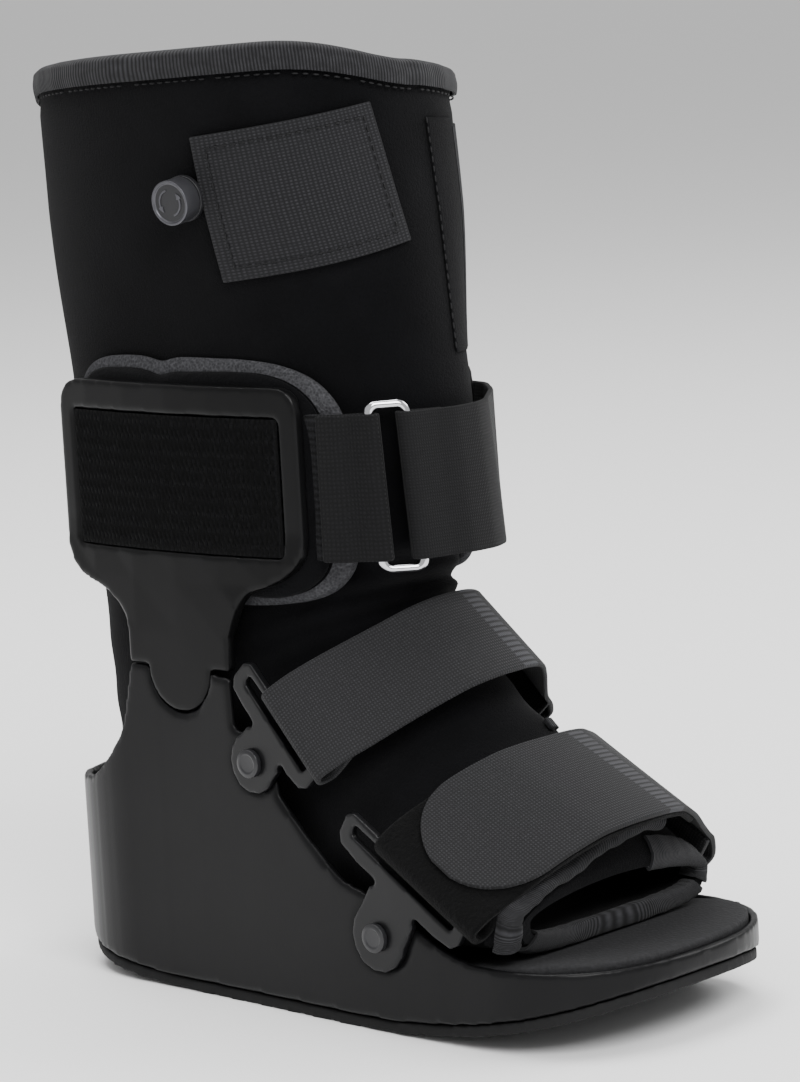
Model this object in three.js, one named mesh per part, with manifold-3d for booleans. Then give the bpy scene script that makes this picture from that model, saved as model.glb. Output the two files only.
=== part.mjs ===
// A short walking boot for a sprained or broken ankle: a rocker-soled plastic shell, two side
// struts, a padded bootie liner and hook-and-loop straps.
// Millimetres, +Z up, toe toward -Y. The wearer's right side is toward -X.
import * as THREE from 'three';
import Module from 'manifold-3d';
import { mergeVertices } from 'three/addons/utils/BufferGeometryUtils.js';

const wasm = await Module();
wasm.setup();

// Driving dimensions of the sole and shell.
const soleLength = 268;
const soleWidth = 118;
const heelWidth = 102;
const toeRound = 48;
const heelRound = 50;
const outsoleThick = 4;
const floorThick = 6;
const shellWall = 3;
const rockerFrontRadius = 330;
const rockerRearRadius = 312;
const flatFront = 0.1;
const flatRear = 0.2;
const toeRimHeight = 29;
const towerHeight = 117;
const towerLength = 51;
const heelCupHeight = 72;
const notchWidth = 31;
const notchDepth = 16;
const pocketDepth = 1.4;
const lugPitch = 14.7;
const lugGap = 1.4;
const lugReach = 16;
const lugDepth = 1.8;
const footbedThick = 12;

// Driving dimensions of the leg part.
const bootHeight = 321;
const legShare = 0.198;
const linerWall = 7;
const toeWall = 4;
const rimArch = 9;
const rimArchReach = 0.25;
const frameWidth = 115;
const frameHeight = 66.5;
const frameBase = 150;
const frameBorder = 7.5;
const frameBow = 5;
const strutThick = 4.5;
const windowDepth = 2.4;
const hookTapeThick = 1.8;
const frameHalfSpan = 51.5;
const padOverhang = 10;

// Driving dimensions of the fastenings.
const loopThick = 3;
const loopBar = 6.5;
const loopHook = 5;
const loopSlot = 4.6;
const loopRod = 3;
const rivetRadius = 5;
const ankleStrapWidth = 37.5;
const toeStrapWidth = 50;
const calfStrapWidth = 50;
const webbing = 1.8;
const pileThick = 2.2;
const ringWire = 3.2;
const ringOpening = 9.6;
const knobDiameter = 15.5;
const knobHeight = 7;
const valveDiameter = 16;
const bindingThick = 1.2;
const bindingHeight = 8;
const clothThick = 1.2;
const toeFreeEnd = 7;
const flapThick = 3;
const flapRise = 7.5;
const strapSlant = 5;
const footSlant = 4.5;
const ankleDrift = 9;
const toeDrift = 12;
const ringShare = 0.222;
const closureThick = 1.8;

const gap = 0.3;
const around = 28;
const far = 400;

// Places that follow from the sizes above. y = 0 is the middle of the sole.
const toeY = -soleLength / 2;
const heelY = soleLength / 2;
const toeStart = toeY + toeRound;
const heelStart = heelY - heelRound;
const legY = soleLength * legShare;
const flatFrontY = -soleLength * flatFront;
const flatRearY = soleLength * flatRear;
const floorTop = outsoleThick + gap + floorThick;
const footbedTop = floorTop + gap + footbedThick;

const finishes = {
  shell: { color: 0x2b2b2d, roughness: 0.42, metalness: 0 },
  rubber: { color: 0x1c1c1d, roughness: 0.85, metalness: 0 },
  foam: { color: 0x3a3a3c, roughness: 0.95, metalness: 0 },
  liner: { color: 0x141416, roughness: 1, metalness: 0 },
  pad: { color: 0x1a1a1c, roughness: 1, metalness: 0 },
  webbing: { color: 0x303032, roughness: 0.9, metalness: 0 },
  pile: { color: 0x19191b, roughness: 1, metalness: 0 },
  chrome: { color: 0xd8d8da, roughness: 0.12, metalness: 1 },
  binding: { color: 0x252527, roughness: 0.95, metalness: 0 },
  knob: { color: 0x6e6e72, roughness: 0.35, metalness: 0.6 },
};

const boot = new THREE.Group();

/** Adds one named piece to the boot. */
function addPiece(name, geometry, finish) {
  const mesh = new THREE.Mesh(geometry, new THREE.MeshStandardMaterial(finishes[finish]));
  mesh.name = name;
  boot.add(mesh);
  return mesh;
}

/** Turns a closed geometry into a solid that can be cut and joined. */
function toSolid(geometry) {
  const bare = geometry.clone();
  bare.deleteAttribute('normal');
  bare.deleteAttribute('uv');
  const merged = mergeVertices(bare, 1e-4);
  return new wasm.Manifold(new wasm.Mesh({
    numProp: 3,
    vertProperties: Float32Array.from(merged.attributes.position.array),
    triVerts: Uint32Array.from(merged.index.array),
  }));
}

/** Turns a solid back into a geometry. */
function toGeometry(solid) {
  const mesh = solid.getMesh();
  const geometry = new THREE.BufferGeometry();
  geometry.setAttribute('position', new THREE.BufferAttribute(mesh.vertProperties, 3));
  geometry.setIndex(new THREE.BufferAttribute(mesh.triVerts, 1));
  geometry.computeVertexNormals();
  return geometry;
}

/** Mirrors a geometry across the boot's middle plane. */
function mirrored(geometry) {
  const copy = geometry.clone();
  copy.scale(-1, 1, 1);
  const index = copy.index.array;
  for (let i = 0; i < index.length; i += 3) {
    [index[i], index[i + 1]] = [index[i + 1], index[i]];
  }
  copy.computeVertexNormals();
  return copy;
}

/** Volume enclosed by an indexed geometry, negative where its faces point in. */
function signedVolume(positions, index) {
  const corner = [0, 1, 2].map(() => new THREE.Vector3());
  let sum = 0;
  for (let i = 0; i < index.length; i += 3) {
    corner.forEach((c, k) => c.fromArray(positions, index[i + k] * 3));
    sum += corner[0].dot(corner[1].cross(corner[2])) / 6;
  }
  return sum;
}

/**
 * Joins rings of points into one closed skin. The ends are joined if endless, capped by a fan,
 * or capped by a strip, for rings made of an outer chain and the same inner chain reversed.
 */
function loft(rings, ends = 'fan') {
  const endless = ends === 'endless';
  const count = rings[0].length;
  const positions = rings.flat().flatMap((p) => [p.x, p.y, p.z]);
  const index = [];
  const spans = endless ? rings.length : rings.length - 1;
  for (let r = 0; r < spans; r += 1) {
    const next = (r + 1) % rings.length;
    for (let k = 0; k < count; k += 1) {
      const a = r * count + k;
      const b = r * count + (k + 1) % count;
      const c = next * count + k;
      const d = next * count + (k + 1) % count;
      index.push(a, b, d, a, d, c);
    }
  }
  if (!endless) {
    for (const [ring, turned] of [[0, true], [rings.length - 1, false]]) {
      const face = (a, b, c) => index.push(...(turned ? [a, c, b] : [a, b, c]));
      if (ends === 'strip') {
        for (let k = 0; k < count / 2 - 1; k += 1) {
          const [a, b] = [ring * count + k, ring * count + k + 1];
          const [c, d] = [(ring + 1) * count - 2 - k, (ring + 1) * count - 1 - k];
          face(a, b, c);
          face(a, c, d);
        }
        continue;
      }
      const middle = new THREE.Vector3();
      rings[ring].forEach((p) => middle.addScaledVector(p, 1 / count));
      const hub = positions.length / 3;
      positions.push(middle.x, middle.y, middle.z);
      for (let k = 0; k < count; k += 1) {
        const a = ring * count + k;
        const b = ring * count + (k + 1) % count;
        face(hub, a, b);
      }
    }
  }
  if (signedVolume(positions, index) < 0) {
    for (let i = 0; i < index.length; i += 3) {
      [index[i], index[i + 1]] = [index[i + 1], index[i]];
    }
  }
  const geometry = new THREE.BufferGeometry();
  geometry.setAttribute('position', new THREE.Float32BufferAttribute(positions, 3));
  geometry.setIndex(index);
  geometry.computeVertexNormals();
  return geometry;
}

/** Extrudes an outline drawn in Y and Z along X. */
function extrudeAcross(shape, fromX, toX, steps = 6) {
  const geometry = new THREE.ExtrudeGeometry(shape, {
    depth: toX - fromX, bevelEnabled: false, curveSegments: steps,
  });
  geometry.applyMatrix4(new THREE.Matrix4().makeBasis(
    new THREE.Vector3(0, 1, 0), new THREE.Vector3(0, 0, 1), new THREE.Vector3(1, 0, 0),
  ));
  geometry.translate(fromX, 0, 0);
  return toSolid(geometry);
}

/** Extrudes an outline drawn in X and Y upward. */
function extrudeUp(points, fromZ, toZ) {
  const geometry = new THREE.ExtrudeGeometry(new THREE.Shape(points), {
    depth: toZ - fromZ, bevelEnabled: false,
  });
  geometry.translate(0, 0, fromZ);
  return toSolid(geometry);
}

/** Smooth step from 0 to 1. */
function ease(t) {
  return THREE.MathUtils.smoothstep(t, 0, 1);
}

/** Half the shell's outer width at a place along the sole. */
function halfWidthAt(y) {
  const heelHalf = heelWidth / 2;
  const toeHalf = soleWidth / 2;
  if (y < toeStart) {
    return toeHalf * (1 - Math.min(1, (toeStart - y) / toeRound) ** 2.4) ** (1 / 2.4);
  }
  if (y > heelStart) {
    return heelHalf * (1 - Math.min(1, (y - heelStart) / heelRound) ** 2.2) ** (1 / 2.2);
  }
  const t = ease((heelStart - y) / (heelStart - toeStart));
  return heelHalf + (toeHalf - heelHalf) * t;
}

/** The sole's outline seen from above, drawn in by an inset. */
function soleOutline(inset) {
  const ends = 9;
  const sides = 9;
  const halves = [];
  for (let i = 0; i < ends; i += 1) {
    const turn = (i / ends) * Math.PI / 2;
    const y = toeStart - toeRound * Math.cos(turn) ** (2 / 2.4);
    halves.push(new THREE.Vector2(soleWidth / 2 * Math.sin(turn) ** (2 / 2.4), y));
  }
  for (let i = 0; i <= sides; i += 1) {
    const y = toeStart + (heelStart - toeStart) * i / sides;
    halves.push(new THREE.Vector2(halfWidthAt(y), y));
  }
  for (let i = ends - 1; i >= 0; i -= 1) {
    const turn = (i / ends) * Math.PI / 2;
    const y = heelStart + heelRound * Math.cos(turn) ** (2 / 2.2);
    halves.push(new THREE.Vector2(heelWidth / 2 * Math.sin(turn) ** (2 / 2.2), y));
  }
  const left = halves.slice(1, -1).reverse().map((p) => new THREE.Vector2(-p.x, p.y));
  const loop = [...halves, ...left];
  return loop.map((p, i) => {
    const before = loop[(i + loop.length - 1) % loop.length];
    const after = loop[(i + 1) % loop.length];
    const along = after.clone().sub(before).normalize();
    return new THREE.Vector2(p.x - along.y * inset, p.y + along.x * inset);
  });
}

/** Height of the rocker sole's underside. */
function rockerAt(y) {
  if (y < flatFrontY) {
    const reach = flatFrontY - y;
    return rockerFrontRadius - Math.sqrt(rockerFrontRadius ** 2 - reach ** 2);
  }
  if (y > flatRearY) {
    const reach = y - flatRearY;
    return rockerRearRadius - Math.sqrt(rockerRearRadius ** 2 - reach ** 2);
  }
  return 0;
}

/** Points along the rocker curve, raised, from the toe to the heel. */
function rockerLine(rise, overrun = 2) {
  const points = [];
  const steps = 6;
  const from = toeY - overrun;
  const to = heelY + overrun;
  for (let i = 0; i <= steps; i += 1) {
    const y = from + (flatFrontY - from) * i / steps;
    points.push(new THREE.Vector2(y, rockerAt(y) + rise));
  }
  for (let i = 0; i <= steps; i += 1) {
    const y = flatRearY + (to - flatRearY) * i / steps;
    points.push(new THREE.Vector2(y, rockerAt(y) + rise));
  }
  return points;
}

/** Places of one strap loop: its slanted slot, its rivet and the directions along the slot. */
function loopFrame({ slotTop, slotFoot, rivet, plateRadius }) {
  const along = slotFoot.clone().sub(slotTop).normalize();
  const outward = new THREE.Vector2(-along.y, along.x);
  if (outward.dot(rivet.clone().sub(slotTop)) > 0) outward.negate();
  const length = slotTop.distanceTo(slotFoot);
  const at = (a, o) => slotTop.clone().addScaledVector(along, a).addScaledVector(outward, o);
  return { slotTop, slotFoot, rivet, plateRadius, along, outward, length, at };
}

// Places of the two pairs of loops, as shares of the sole's length and the boot's height.
const ankleLoop = loopFrame({
  slotTop: new THREE.Vector2(0.069 * soleLength, 0.358 * bootHeight),
  slotFoot: new THREE.Vector2(-0.031 * soleLength, 0.269 * bootHeight),
  rivet: new THREE.Vector2(0.0625 * soleLength, 0.272 * bootHeight),
  plateRadius: 11,
});
const toeLoop = loopFrame({
  slotTop: new THREE.Vector2(-0.114 * soleLength, 0.211 * bootHeight),
  slotFoot: new THREE.Vector2(-0.2797 * soleLength, 0.125 * bootHeight),
  rivet: new THREE.Vector2(-0.1527 * soleLength, 0.1057 * bootHeight),
  plateRadius: 12.3,
});

/** A polygon of a loop's own coordinates: along the slot and outward from the rivet. */
function loopPolygon(loop, corners) {
  return new THREE.Shape(corners.map(([a, o]) => loop.at(a, o)));
}

/** A loop's plate, neck, bars and hooked ends in side view, grown by a margin, across X. */
function loopPrism(loop, margin) {
  const end = loopHook + margin;
  const low = -loopBar - margin;
  const high = loopSlot + loopRod + margin;
  const cut = 2.5;
  const frame = loopPolygon(loop, [
    [-end + cut, low + 1], [-end, low + cut + 2], [-end, high - cut], [-end + cut, high],
    [loop.length + end - cut, high], [loop.length + end, high - cut],
    [loop.length + end, low + cut + 2], [loop.length + end - cut, low + 1],
    [loop.length - end, low], [end, low],
  ]);
  const plate = new THREE.Shape();
  plate.absarc(loop.rivet.x, loop.rivet.y, loop.plateRadius + margin, 0, Math.PI * 2, false);
  const rivetAlong = loop.rivet.clone().sub(loop.slotTop).dot(loop.along);
  const rivetOut = loop.rivet.clone().sub(loop.slotTop).dot(loop.outward);
  const neckHalf = loop.plateRadius * 0.93 + margin;
  const neck = loopPolygon(loop, [
    [rivetAlong - neckHalf, rivetOut + 2], [rivetAlong + neckHalf, rivetOut + 2],
    [rivetAlong + neckHalf, low + 0.5], [rivetAlong - neckHalf, low + 0.5],
  ]);
  return extrudeAcross(frame, -far, 0)
    .add(extrudeAcross(plate, -far, 0, 7))
    .add(extrudeAcross(neck, -far, 0));
}

/** The round notches on either side of a loop's neck. */
function loopNotches(loop) {
  const radius = 1.9;
  const rivetAlong = loop.rivet.clone().sub(loop.slotTop).dot(loop.along);
  const cuts = [-1, 1].map((side) => {
    const centre = loop.at(rivetAlong + side * loop.plateRadius * 0.95, -loopBar - radius * 0.9);
    const shape = new THREE.Shape();
    shape.absarc(centre.x, centre.y, radius, 0, Math.PI * 2, false);
    return extrudeAcross(shape, -far, 0, 3);
  });
  return cuts[0].add(cuts[1]);
}

/** The strap slot of a loop. */
function slotPrism(loop) {
  const cut = 1;
  return extrudeAcross(loopPolygon(loop, [
    [cut, 0], [loop.length - cut, 0], [loop.length, cut], [loop.length, loopSlot - cut],
    [loop.length - cut, loopSlot], [cut, loopSlot], [0, loopSlot - cut], [0, cut],
  ]), -far, 0);
}

/** A layer that follows the shell's outer wall, between two insets, on the right side. */
function wallLayer(outerInset, innerInset) {
  const outer = extrudeUp(soleOutline(outerInset), -10, far);
  return outer.subtract(extrudeUp(soleOutline(innerInset), -20, far + 10));
}

/** The tower's side view: its front and rear edges, and the round notch for the strut. */
const tower = {
  front: legY - towerLength / 2 + 0.004 * soleLength,
  rear: legY + towerLength / 2,
  middle: legY + 0.002 * soleLength,
};

/** The shell's side view above the outsole. */
function shellSide() {
  const shape = new THREE.Shape();
  const under = rockerLine(outsoleThick + gap);
  under.forEach((p, i) => (i ? shape.lineTo(p.x, p.y) : shape.moveTo(p.x, p.y)));
  shape.lineTo(heelY + 2, heelCupHeight - 3);
  shape.lineTo(heelY - 0.1 * soleLength, heelCupHeight);
  shape.quadraticCurveTo(
    tower.rear + 0.06 * soleLength, heelCupHeight + 5,
    tower.rear + 0.02 * soleLength, (towerHeight + heelCupHeight) / 2,
  );
  shape.lineTo(tower.rear, towerHeight);
  shape.lineTo(tower.front, towerHeight - 1.5);
  shape.lineTo(tower.front - 0.004 * soleLength, ankleLoop.rivet.y + 10);
  shape.lineTo(ankleLoop.rivet.x - 0.02 * soleLength, ankleLoop.rivet.y + 9);
  shape.lineTo(ankleLoop.rivet.x - 0.038 * soleLength, ankleLoop.rivet.y - 11);
  shape.quadraticCurveTo(
    -0.03 * soleLength, toeLoop.rivet.y + 27,
    toeLoop.rivet.x + 0.07 * soleLength, toeLoop.rivet.y + 17,
  );
  shape.lineTo(toeLoop.rivet.x + 0.02 * soleLength, toeLoop.rivet.y + 13);
  shape.lineTo(toeLoop.rivet.x - 0.06 * soleLength, toeLoop.rivet.y + 4);
  shape.quadraticCurveTo(
    toeLoop.rivet.x - 0.13 * soleLength, toeRimHeight,
    toeStart, toeRimHeight,
  );
  shape.lineTo(toeY - 2, toeRimHeight);
  shape.closePath();
  return shape;
}

/** The round-ended notch in a tower, or the strut's tongue that fills it. */
function notchShape(inset) {
  const half = notchWidth / 2 - inset;
  const foot = towerHeight - notchDepth + half + inset;
  const shape = new THREE.Shape();
  shape.moveTo(tower.middle + half, towerHeight + 12);
  shape.lineTo(tower.middle - half, towerHeight + 12);
  shape.lineTo(tower.middle - half, foot);
  shape.absarc(tower.middle, foot, half, Math.PI, Math.PI * 2, false);
  shape.closePath();
  return shape;
}

const shellHollow = extrudeUp(soleOutline(shellWall), -10, far).intersect(
  extrudeAcross(new THREE.Shape([
    ...rockerLine(floorTop, 10),
    new THREE.Vector2(heelY + 10, far), new THREE.Vector2(toeY - 10, far),
  ]), -far, far),
);

let shellSolid = extrudeUp(soleOutline(0), -10, far)
  .intersect(extrudeAcross(shellSide(), -far, far, 8))
  .subtract(shellHollow)
  .subtract(extrudeAcross(notchShape(0), -far, far, 8));

for (const loop of [ankleLoop, toeLoop]) {
  const pocket = loopPrism(loop, gap + 0.4).intersect(wallLayer(-5, pocketDepth));
  shellSolid = shellSolid.subtract(pocket).subtract(pocket.mirror([1, 0, 0]));
}
addPiece('shell', toGeometry(shellSolid), 'shell');

// Outsole: the tread under the shell, with short notches between the lugs along both edges.
let outsoleSolid = extrudeUp(soleOutline(1), -10, far).intersect(
  extrudeAcross(new THREE.Shape([
    ...rockerLine(0), ...rockerLine(outsoleThick).reverse(),
  ]), -far, far),
);
const lugCount = Math.floor((flatRearY - toeStart) / lugPitch);
for (let i = 0; i < lugCount; i += 1) {
  const y = flatRearY - (i + 0.5) * lugPitch;
  const depth = rockerAt(y) + lugDepth;
  for (const side of [-1, 1]) {
    const edge = side * (halfWidthAt(y) + 2);
    const inner = side * (halfWidthAt(y) - lugReach);
    const notch = new THREE.BoxGeometry(Math.abs(edge - inner), lugGap, depth + 5);
    notch.translate((edge + inner) / 2, y, (depth - 5) / 2);
    outsoleSolid = outsoleSolid.subtract(toSolid(notch));
  }
}
addPiece('outsole', toGeometry(outsoleSolid), 'rubber');

// Footbed: its underside follows the shell's floor. thick is its thickness at a place along the
// sole, as a share of footbedThick.
const footbedRows = [
  { along: -0.5, thick: 0.2419 }, { along: -0.4, thick: 0.8547 },
  { along: -0.33, thick: 1.0327 }, { along: -0.25, thick: 1.0619 },
  { along: -0.12, thick: 0.9964 }, { along: 0.2, thick: 1.0000 },
  { along: 0.36, thick: 0.9699 }, { along: 0.5, thick: 0.7469 },
];
/** Height of the footbed's top at a share of the sole's length. */
function footbedAt(along) {
  const points = footbedRows.map((row) => ({
    along: row.along,
    top: rockerAt(row.along * soleLength) + floorTop + gap + row.thick * footbedThick,
  }));
  const share = THREE.MathUtils.clamp(along, points[0].along, points[points.length - 1].along);
  const next = Math.max(1, points.findIndex((point) => point.along >= share));
  const [a, b] = [points[next - 1], points[next]];
  return THREE.MathUtils.mapLinear(share, a.along, b.along, a.top, b.top);
}
const footbedUnder = rockerLine(floorTop + gap, 0);
const footbedUpper = [...footbedRows].reverse()
  .map((row) => new THREE.Vector2(row.along * soleLength, footbedAt(row.along)));
const footbedSolid = extrudeUp(soleOutline(shellWall + gap), -10, far)
  .intersect(extrudeAcross(new THREE.Shape([...footbedUnder, ...footbedUpper]), -far, far));
addPiece('footbed', toGeometry(footbedSolid), 'foam');

// The liner's sections, from the rim to the toe opening. Each runs from a front point to a back
// point, on the shin or instep side and on the calf or sole side: y as a share of the sole's
// length, z above the footbed as a share of the boot's height over it. half is half the section's
// width as a share of the sole's width. front and back are how square the section is on either
// side: 2 is an ellipse.
const linerRows = [
  { frontY: -0.09, frontZ: 0.98924, backY: 0.506, backZ: 0.93829, half: 0.475, front: 2.3, back: 2.3 },
  { frontY: -0.105, frontZ: 0.83864, backY: 0.516, backZ: 0.79199, half: 0.44, front: 2.3, back: 2.3 },
  { frontY: -0.122, frontZ: 0.67712, backY: 0.52, backZ: 0.6145, half: 0.35, front: 2.2, back: 2.3 },
  { frontY: -0.137, frontZ: 0.56831, backY: 0.508, backZ: 0.48003, half: 0.33, front: 2.2, back: 2.3 },
  { frontY: -0.122, frontZ: 0.48349, backY: 0.482, backZ: 0.35305, half: 0.332, front: 2.2, back: 2.4 },
  { frontY: -0.088, frontZ: 0.42125, backY: 0.46, backZ: 0.24806, half: 0.347, front: 2.2, back: 2.5 },
  { frontY: -0.085, frontZ: 0.38145, backY: 0.45, backZ: 0.14703, half: 0.362, front: 2.2, back: 2.6 },
  { frontY: -0.11, frontZ: 0.3438, backY: 0.445, backZ: 0.06694, half: 0.37, front: 2.2, back: 2.8 },
  { frontY: -0.142, frontZ: 0.30972, backY: 0.42, backZ: 0.01501, half: 0.378, front: 2.2, back: 3 },
  { frontY: -0.172, frontZ: 0.27927, backY: 0.33, backZ: 0.00324, half: 0.388, front: 2.1, back: 3.2 },
  { frontY: -0.198, frontZ: 0.25131, backY: 0.16, backZ: 0.00441, half: 0.4, front: 2.1, back: 3.4 },
  { frontY: -0.23, frontZ: 0.2164, backY: 0, backZ: 0.00441, half: 0.412, front: 2.1, back: 3.8 },
  { frontY: -0.282, frontZ: 0.17845, backY: -0.16, backZ: 0.00272, half: 0.42, front: 2, back: 4 },
  { frontY: -0.33, frontZ: 0.12724, backY: -0.28, backZ: 0.00336, half: 0.42, front: 1.9, back: 4.2 },
  { frontY: -0.362, frontZ: 0.079, backY: -0.355, backZ: 0.00705, half: 0.41, front: 1.8, back: 4.5 },
];

/** A height of the liner over the footbed, at a share of the sole's length. */
function linerHeight(along, share) {
  return footbedAt(along) + share * (bootHeight - footbedTop);
}

const linerCurves = {
  front: new THREE.CatmullRomCurve3(linerRows.map(
    (row) => new THREE.Vector3(0, row.frontY * soleLength, linerHeight(row.frontY, row.frontZ)))),
  back: new THREE.CatmullRomCurve3(linerRows.map(
    (row) => new THREE.Vector3(0, row.backY * soleLength, linerHeight(row.backY, row.backZ)))),
  girth: new THREE.CatmullRomCurve3(linerRows.map(
    (row) => new THREE.Vector3(row.half * soleWidth, row.front, row.back))),
};

/** A point of the liner: station 0 at the rim and 1 at the toe, turn 0 at the back or sole. */
function linerPoint(station, turn, swell = 0) {
  const front = linerCurves.front.getPoint(station);
  const back = linerCurves.back.getPoint(station);
  const girth = linerCurves.girth.getPoint(station);
  const middle = front.clone().add(back).multiplyScalar(0.5);
  const axis = back.clone().sub(front);
  const reach = axis.length() / 2 + swell;
  axis.normalize();
  const c = Math.cos(turn);
  const s = Math.sin(turn);
  const power = 2 / (c < 0 ? girth.y : girth.z);
  const lift = rimArch * Math.max(0, 1 - station / rimArchReach) * Math.abs(s) ** 1.6;
  return middle
    .addScaledVector(axis, reach * Math.sign(c) * Math.abs(c) ** power)
    .add(new THREE.Vector3((girth.x + swell) * Math.sign(s) * Math.abs(s) ** power, 0, lift));
}

/** One ring of the liner at a station. */
function linerRing(station, swell, count = around) {
  return Array.from({ length: count },
    (_, k) => linerPoint(station, (k / count) * Math.PI * 2, swell));
}

/** The liner's wall thickness at a station, thinner toward the toe opening. */
function wallAt(station) {
  return THREE.MathUtils.lerp(linerWall, toeWall, ease((station - 0.7) / 0.3));
}

const linerStations = 20;
const stations = Array.from({ length: linerStations + 1 }, (_, i) => i / linerStations);
const linerGeometry = loft([
  ...stations.map((t) => linerRing(t, 0)),
  ...[...stations].reverse().map((t) => linerRing(t, -wallAt(t))),
], 'endless');
addPiece('liner', linerGeometry, 'liner');

/** The liner's filled outer form, swollen by a clearance, used to seat what lies on it. */
function linerBlock(swell) {
  return toSolid(loft(stations.map((t) => linerRing(t, swell))));
}

// Struts. Each is a framed plate on a neck that ends in a tongue in the tower's notch.
const frame = {
  front: legY - frameWidth / 2,
  rear: legY + frameWidth / 2,
  top: frameBase + frameHeight,
};
const neckHalf = towerLength / 2 - 1;
const towerX = halfWidthAt(tower.middle);

/** How far a strut's outer face stands from the middle plane. */
function strutFace(y, z) {
  const spread = ((y - legY) / (frameWidth / 2)) ** 2 * frameBow;
  const rise = ease((z - towerHeight) / (frameBase + 14 - towerHeight));
  return towerX + (frameHalfSpan - towerX) * rise - spread * rise;
}

/** A sheet that follows the strut's face between two depths behind it, on the right side. */
function strutLayer(outerDepth, innerDepth) {
  const columns = 8;
  const rows = 8;
  const lowZ = towerHeight - notchDepth - 10;
  const highZ = frame.top + 25;
  const fromY = frame.front - 25;
  const toY = frame.rear + 25;
  const rings = [];
  for (let j = 0; j <= rows; j += 1) {
    const z = lowZ + (highZ - lowZ) * j / rows;
    const line = (depth, y) => new THREE.Vector3(-(strutFace(y, z) - depth), y, z);
    const ys = Array.from({ length: columns + 1 }, (_, i) => fromY + (toY - fromY) * i / columns);
    rings.push([
      ...ys.map((y) => line(outerDepth, y)),
      ...[...ys].reverse().map((y) => line(innerDepth, y)),
    ]);
  }
  return toSolid(loft(rings, 'strip'));
}

/** A strut's side view: the frame, the neck and the tongue. */
function strutOutline() {
  const r = 10;
  const shape = new THREE.Shape();
  shape.moveTo(frame.front + r, frame.top);
  shape.lineTo(frame.rear - r * 1.4, frame.top);
  shape.quadraticCurveTo(frame.rear, frame.top, frame.rear, frame.top - r);
  shape.lineTo(frame.rear, frameBase + r);
  shape.quadraticCurveTo(frame.rear - 1, frameBase, frame.rear - r, frameBase - 4);
  shape.quadraticCurveTo(
    tower.middle + neckHalf + 2, frameBase - 9, tower.middle + neckHalf, towerHeight + 12);
  shape.lineTo(tower.middle + neckHalf, towerHeight + gap);
  shape.lineTo(tower.middle - neckHalf, towerHeight + gap);
  shape.lineTo(tower.middle - neckHalf, towerHeight + 12);
  shape.quadraticCurveTo(
    tower.middle - neckHalf - 4, frameBase - 9, frame.front + r * 2.4, frameBase - 5);
  shape.quadraticCurveTo(frame.front, frameBase + 1, frame.front, frameBase + r * 1.2);
  shape.lineTo(frame.front, frame.top - r);
  shape.quadraticCurveTo(frame.front, frame.top, frame.front + r, frame.top);
  return shape;
}

/** A strut's window for the hook tape, drawn in by an inset. */
function windowOutline(inset) {
  const r = 3;
  const front = frame.front + frameBorder + inset;
  const rear = frame.rear - frameBorder + inset * -1;
  const low = frameBase + frameBorder + inset;
  const high = frame.top - frameBorder - 3 - inset;
  const shape = new THREE.Shape();
  shape.moveTo(front + r, low);
  shape.lineTo(rear - r, low);
  shape.quadraticCurveTo(rear, low, rear, low + r);
  shape.lineTo(rear, high - r);
  shape.quadraticCurveTo(rear, high, rear - r, high);
  shape.lineTo(front + r, high);
  shape.quadraticCurveTo(front, high, front, high - r);
  shape.lineTo(front, low + r);
  shape.quadraticCurveTo(front, low, front + r, low);
  return shape;
}

const strutPlate = extrudeAcross(strutOutline(), -far, 0, 5)
  .add(extrudeAcross(notchShape(gap), -far, 0, 8))
  .intersect(strutLayer(0, strutThick));
const neckTrim = extrudeUp(soleOutline(shellWall), -10, towerHeight + gap / 2);
const strutSolid = strutPlate
  .subtract(extrudeAcross(windowOutline(0), -far, 0, 4).intersect(strutLayer(-9, windowDepth)))
  .subtract(neckTrim);
addPiece('strut_right', toGeometry(strutSolid), 'shell');
addPiece('strut_left', mirrored(toGeometry(strutSolid)), 'shell');

const hookDepth = windowDepth - gap - hookTapeThick;
const hookSolid = extrudeAcross(windowOutline(gap), -far, 0, 4)
  .intersect(strutLayer(hookDepth, windowDepth - gap));
addPiece('hook_patch_right', toGeometry(hookSolid), 'pile');
addPiece('hook_patch_left', mirrored(toGeometry(hookSolid)), 'pile');

/** A strut pad's side view, with its dipped top edge. */
function padOutline() {
  const front = frame.front - padOverhang;
  const rear = frame.rear + 2;
  const high = frame.top + padOverhang;
  const low = frameBase - padOverhang;
  const shape = new THREE.Shape();
  shape.moveTo(front, frameBase + 12);
  shape.quadraticCurveTo(front, high, front + 30, high);
  shape.quadraticCurveTo(legY - 5, high + 2, legY + 12, high - 2);
  shape.quadraticCurveTo(legY + 20, high + 1, rear - 24, high);
  shape.quadraticCurveTo(rear, high - 1, rear, frame.top - 8);
  shape.lineTo(rear, frameBase + 8);
  shape.quadraticCurveTo(rear - 3, low - 2, rear - 25, low - 4);
  shape.lineTo(front + 30, low - 6);
  shape.quadraticCurveTo(front, low - 4, front, frameBase + 12);
  return shape;
}

const padInner = linerBlock(gap + 0.2);
const tabRoom = webbing + gap * 4;
const padSolid = extrudeAcross(padOutline(), -far, 0, 6)
  .intersect(strutLayer(strutThick + tabRoom + gap, strutThick + 60))
  .subtract(padInner)
  .subtract(extrudeUp(soleOutline(-1), -10, towerHeight + 4));
const padBody = padSolid.decompose().sort((a, b) => b.volume() - a.volume())[0];
addPiece('strut_pad_right', toGeometry(padBody), 'pad');
addPiece('strut_pad_left', mirrored(toGeometry(padBody)), 'pad');

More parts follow.
